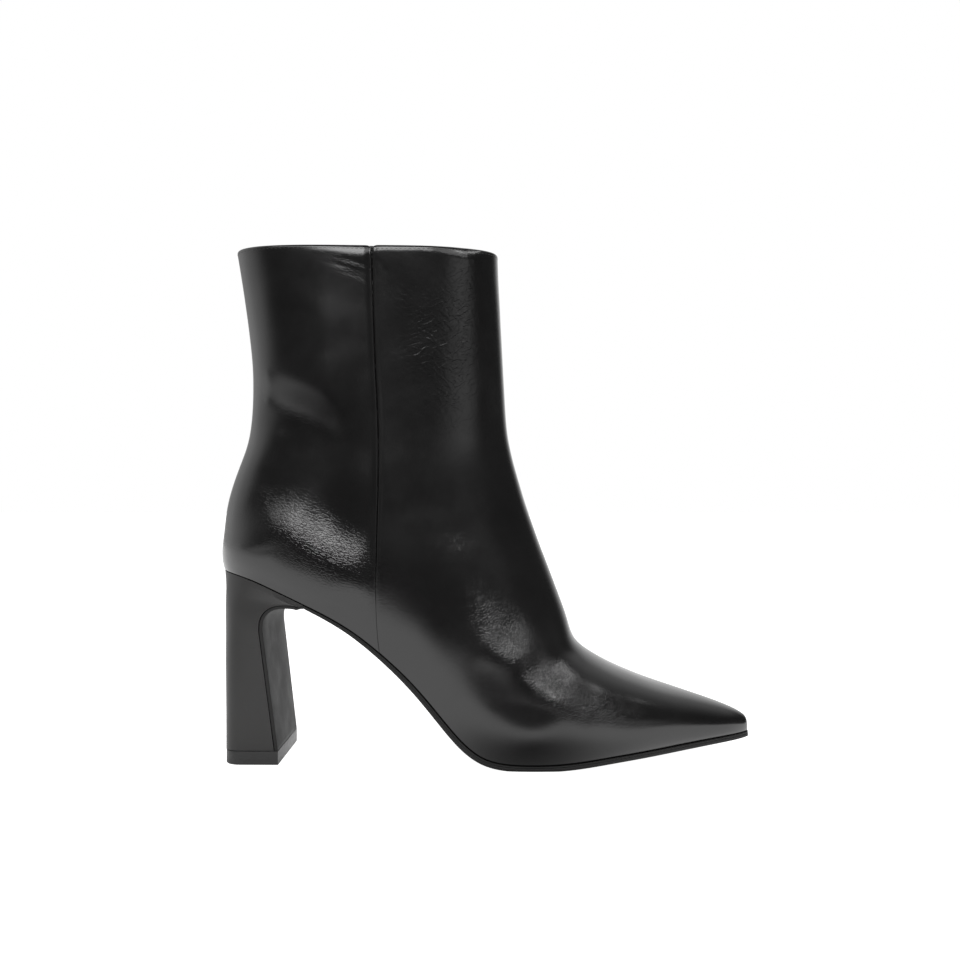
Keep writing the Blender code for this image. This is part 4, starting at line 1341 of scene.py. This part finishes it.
# studio: white floor that ends before the camera, white walls, dark room, four soft boxes
studio = {
    "floorSide": 8.0,
    "floorLevel": -0.0002,
    "floorGlow": 1.0,
    "floorEnd": (-0.36, -0.24),
    "floorTones": ((0.02, 0.02, 0.02), (0.82, 0.82, 0.82)),
    "floorShades": ((0.018, -0.055, 0.075, 0.12), (-0.10, -0.03, 0.05, 0.5)),   # x, y, radius, light left
    "floorCard": (-1.0, -0.72, 0.72, 0.15, 0.85),   # pale card, left of the camera: x, y, radius, full, share
    "wall": 1.0,
    "room": 0.056,
    "leftWall": (-38.0, -100.0),
    "leftDim": (-100.0, -150.0, 1.0, 0.45),
    "rightWall": (117.0, 170.0),
    "rightTop": (40.0, 150.0, 0.0, 0.58),   # lit upper part of the right wall
    "topEdge": (0.3, 0.65),
    "wallTop": (1.0, 0.8),
    "glow": (42.0, 28.0, 0.12, 0.17, 0.95),   # soft light on the right: turn, width, height, reach, share
    "softBoxes": (
        {"name": "key_box", "turn": -1.5, "rise": 35.5, "away": 1.5, "size": (0.68, 0.62), "power": 9.5},
        {"name": "side_box", "turn": -31.0, "rise": 36.0, "away": 1.5, "size": (0.92, 0.42), "power": 3.4},
        {"name": "fill_box", "turn": 34.0, "rise": 41.0, "away": 1.5, "size": (0.80, 0.74), "power": 3.6},
        {"name": "rim_box", "turn": 66.0, "rise": 50.0, "away": 0.88, "size": (0.43, 0.15), "power": 1.0},
    ),
    "boxAim": (0.0, 0.0, 0.11),
    "camera": (0.0060, -0.5607, 0.1244),
    "yaw": 0.89,
    "lens": 46.12,
}


def makeFloor():
    side, level = studio["floorSide"] / 2.0, studio["floorLevel"]
    corners = [(-side, -side, level), (side, -side, level), (side, side, level), (-side, side, level)]
    mesh = bpy.data.meshes.new("studio_floor")
    mesh.from_pydata(corners, [], [(0, 1, 2, 3)])
    floor = bpy.data.objects.new("studio_floor", mesh)
    scene.collection.objects.link(floor)
    material, tree, shader, place = newMaterial("white_floor")

    def farFrom(x, y):
        node = addNode(tree, "ShaderNodeVectorMath", {"operation": "DISTANCE"})
        node.inputs[1].default_value = (x, y, 0.0)
        tree.links.new(place, node.inputs[0])
        return node.outputs["Value"]

    lit = rangeNode(tree, fedNode(tree, "ShaderNodeSeparateXYZ", place)["Y"], *studio["floorEnd"])
    for x, y, radius, left in studio["floorShades"]:
        lit = times(tree, lit, rangeNode(tree, farFrom(x, y), 0.0, radius, left, 1.0))
    cardX, cardY, cardRadius, cardFull, cardShare = studio["floorCard"]
    lit = most(tree, lit, rangeNode(tree, farFrom(cardX, cardY), cardRadius, cardFull, 0.0, cardShare))
    glow = most(tree, lit, addNode(tree, "ShaderNodeLightPath").outputs["Is Camera Ray"])
    tone = toneMix(tree, glow, *studio["floorTones"])
    joinNodes(tree, (tone, shader.inputs["Base Color"]),
              (times(tree, glow, studio["floorGlow"]), shader.inputs["Emission Strength"]))
    setSockets(shader, {"Roughness": 0.9, "Specular IOR Level": 0.0, "Emission Color": (1.0, 1.0, 1.0, 1.0)})
    mesh.materials.append(material)


def makeWorld():
    world = bpy.data.worlds.new("studio_room")
    scene.world = world
    world.use_nodes = True
    tree = world.node_tree
    back = tree.nodes["Background"]
    way = fedNode(tree, "ShaderNodeSeparateXYZ", addNode(tree, "ShaderNodeTexCoord").outputs["Generated"])
    turned = mathNode(tree, "ARCTAN2", way["X"], times(tree, way["Y"], -1.0))

    def turnRange(start, end, low=0.0, high=1.0):
        return rangeNode(tree, turned, math.radians(start), math.radians(end), low, high)

    def farFrom(value, middle):
        return mathNode(tree, "ABSOLUTE", mathNode(tree, "SUBTRACT", value, middle))

    left = times(tree, turnRange(*studio["leftWall"]), turnRange(*studio["leftDim"]))
    top = times(tree, turnRange(*studio["rightTop"]), rangeNode(tree, way["Z"], *studio["topEdge"]))
    right = most(tree, turnRange(*studio["rightWall"]), top)
    wall = times(tree, most(tree, left, right), rangeNode(tree, way["Z"], *studio["wallTop"]))
    glowTurn, glowWide, glowHigh, glowTall, glowShare = studio["glow"]
    glowTurn, glowWide = math.radians(glowTurn), math.radians(glowWide)
    glow = times(tree, rangeNode(tree, farFrom(turned, glowTurn), glowWide, 0.0, 0.0, glowShare),
                 rangeNode(tree, farFrom(way["Z"], glowHigh), glowTall, 0.0))
    light = rangeNode(tree, most(tree, wall, glow), 0.0, 1.0, studio["room"], studio["wall"])
    seen = addNode(tree, "ShaderNodeLightPath").outputs["Is Camera Ray"]
    joinNodes(tree, (most(tree, light, seen), back.inputs["Strength"]))
    back.inputs["Color"].default_value = (1.0, 1.0, 1.0, 1.0)


def makeLights():
    aim = Vector(studio["boxAim"])
    for box in studio["softBoxes"]:
        light = bpy.data.lights.new(box["name"], "AREA")
        light.shape = "RECTANGLE"
        light.size, light.size_y = box["size"]
        light.energy = box["power"]
        turn, rise = math.radians(box["turn"]), math.radians(box["rise"])
        way = Vector((math.sin(turn) * math.cos(rise), -math.cos(turn) * math.cos(rise), math.sin(rise)))
        lamp = bpy.data.objects.new(box["name"], light)
        lamp.location = aim + way * box["away"]
        lamp.rotation_mode = "QUATERNION"
        lamp.rotation_quaternion = (-way).to_track_quat("-Z", "Y")
        lamp.visible_camera = False
        scene.collection.objects.link(lamp)


def makeCamera():
    camera = bpy.data.objects.new("photo_camera", bpy.data.cameras.new("photo_camera"))
    camera.data.lens = studio["lens"]
    camera.data.sensor_width = 36.0
    camera.data.clip_start, camera.data.clip_end = 0.01, 50.0
    camera.location = studio["camera"]
    camera.rotation_euler = (math.radians(90.0), 0.0, math.radians(studio["yaw"]))
    scene.collection.objects.link(camera)
    scene.camera = camera


makeFloor()
makeWorld()
makeLights()
makeCamera()
scene.view_settings.view_transform = "Standard"
scene.view_settings.look = "None"
print("studio ready")
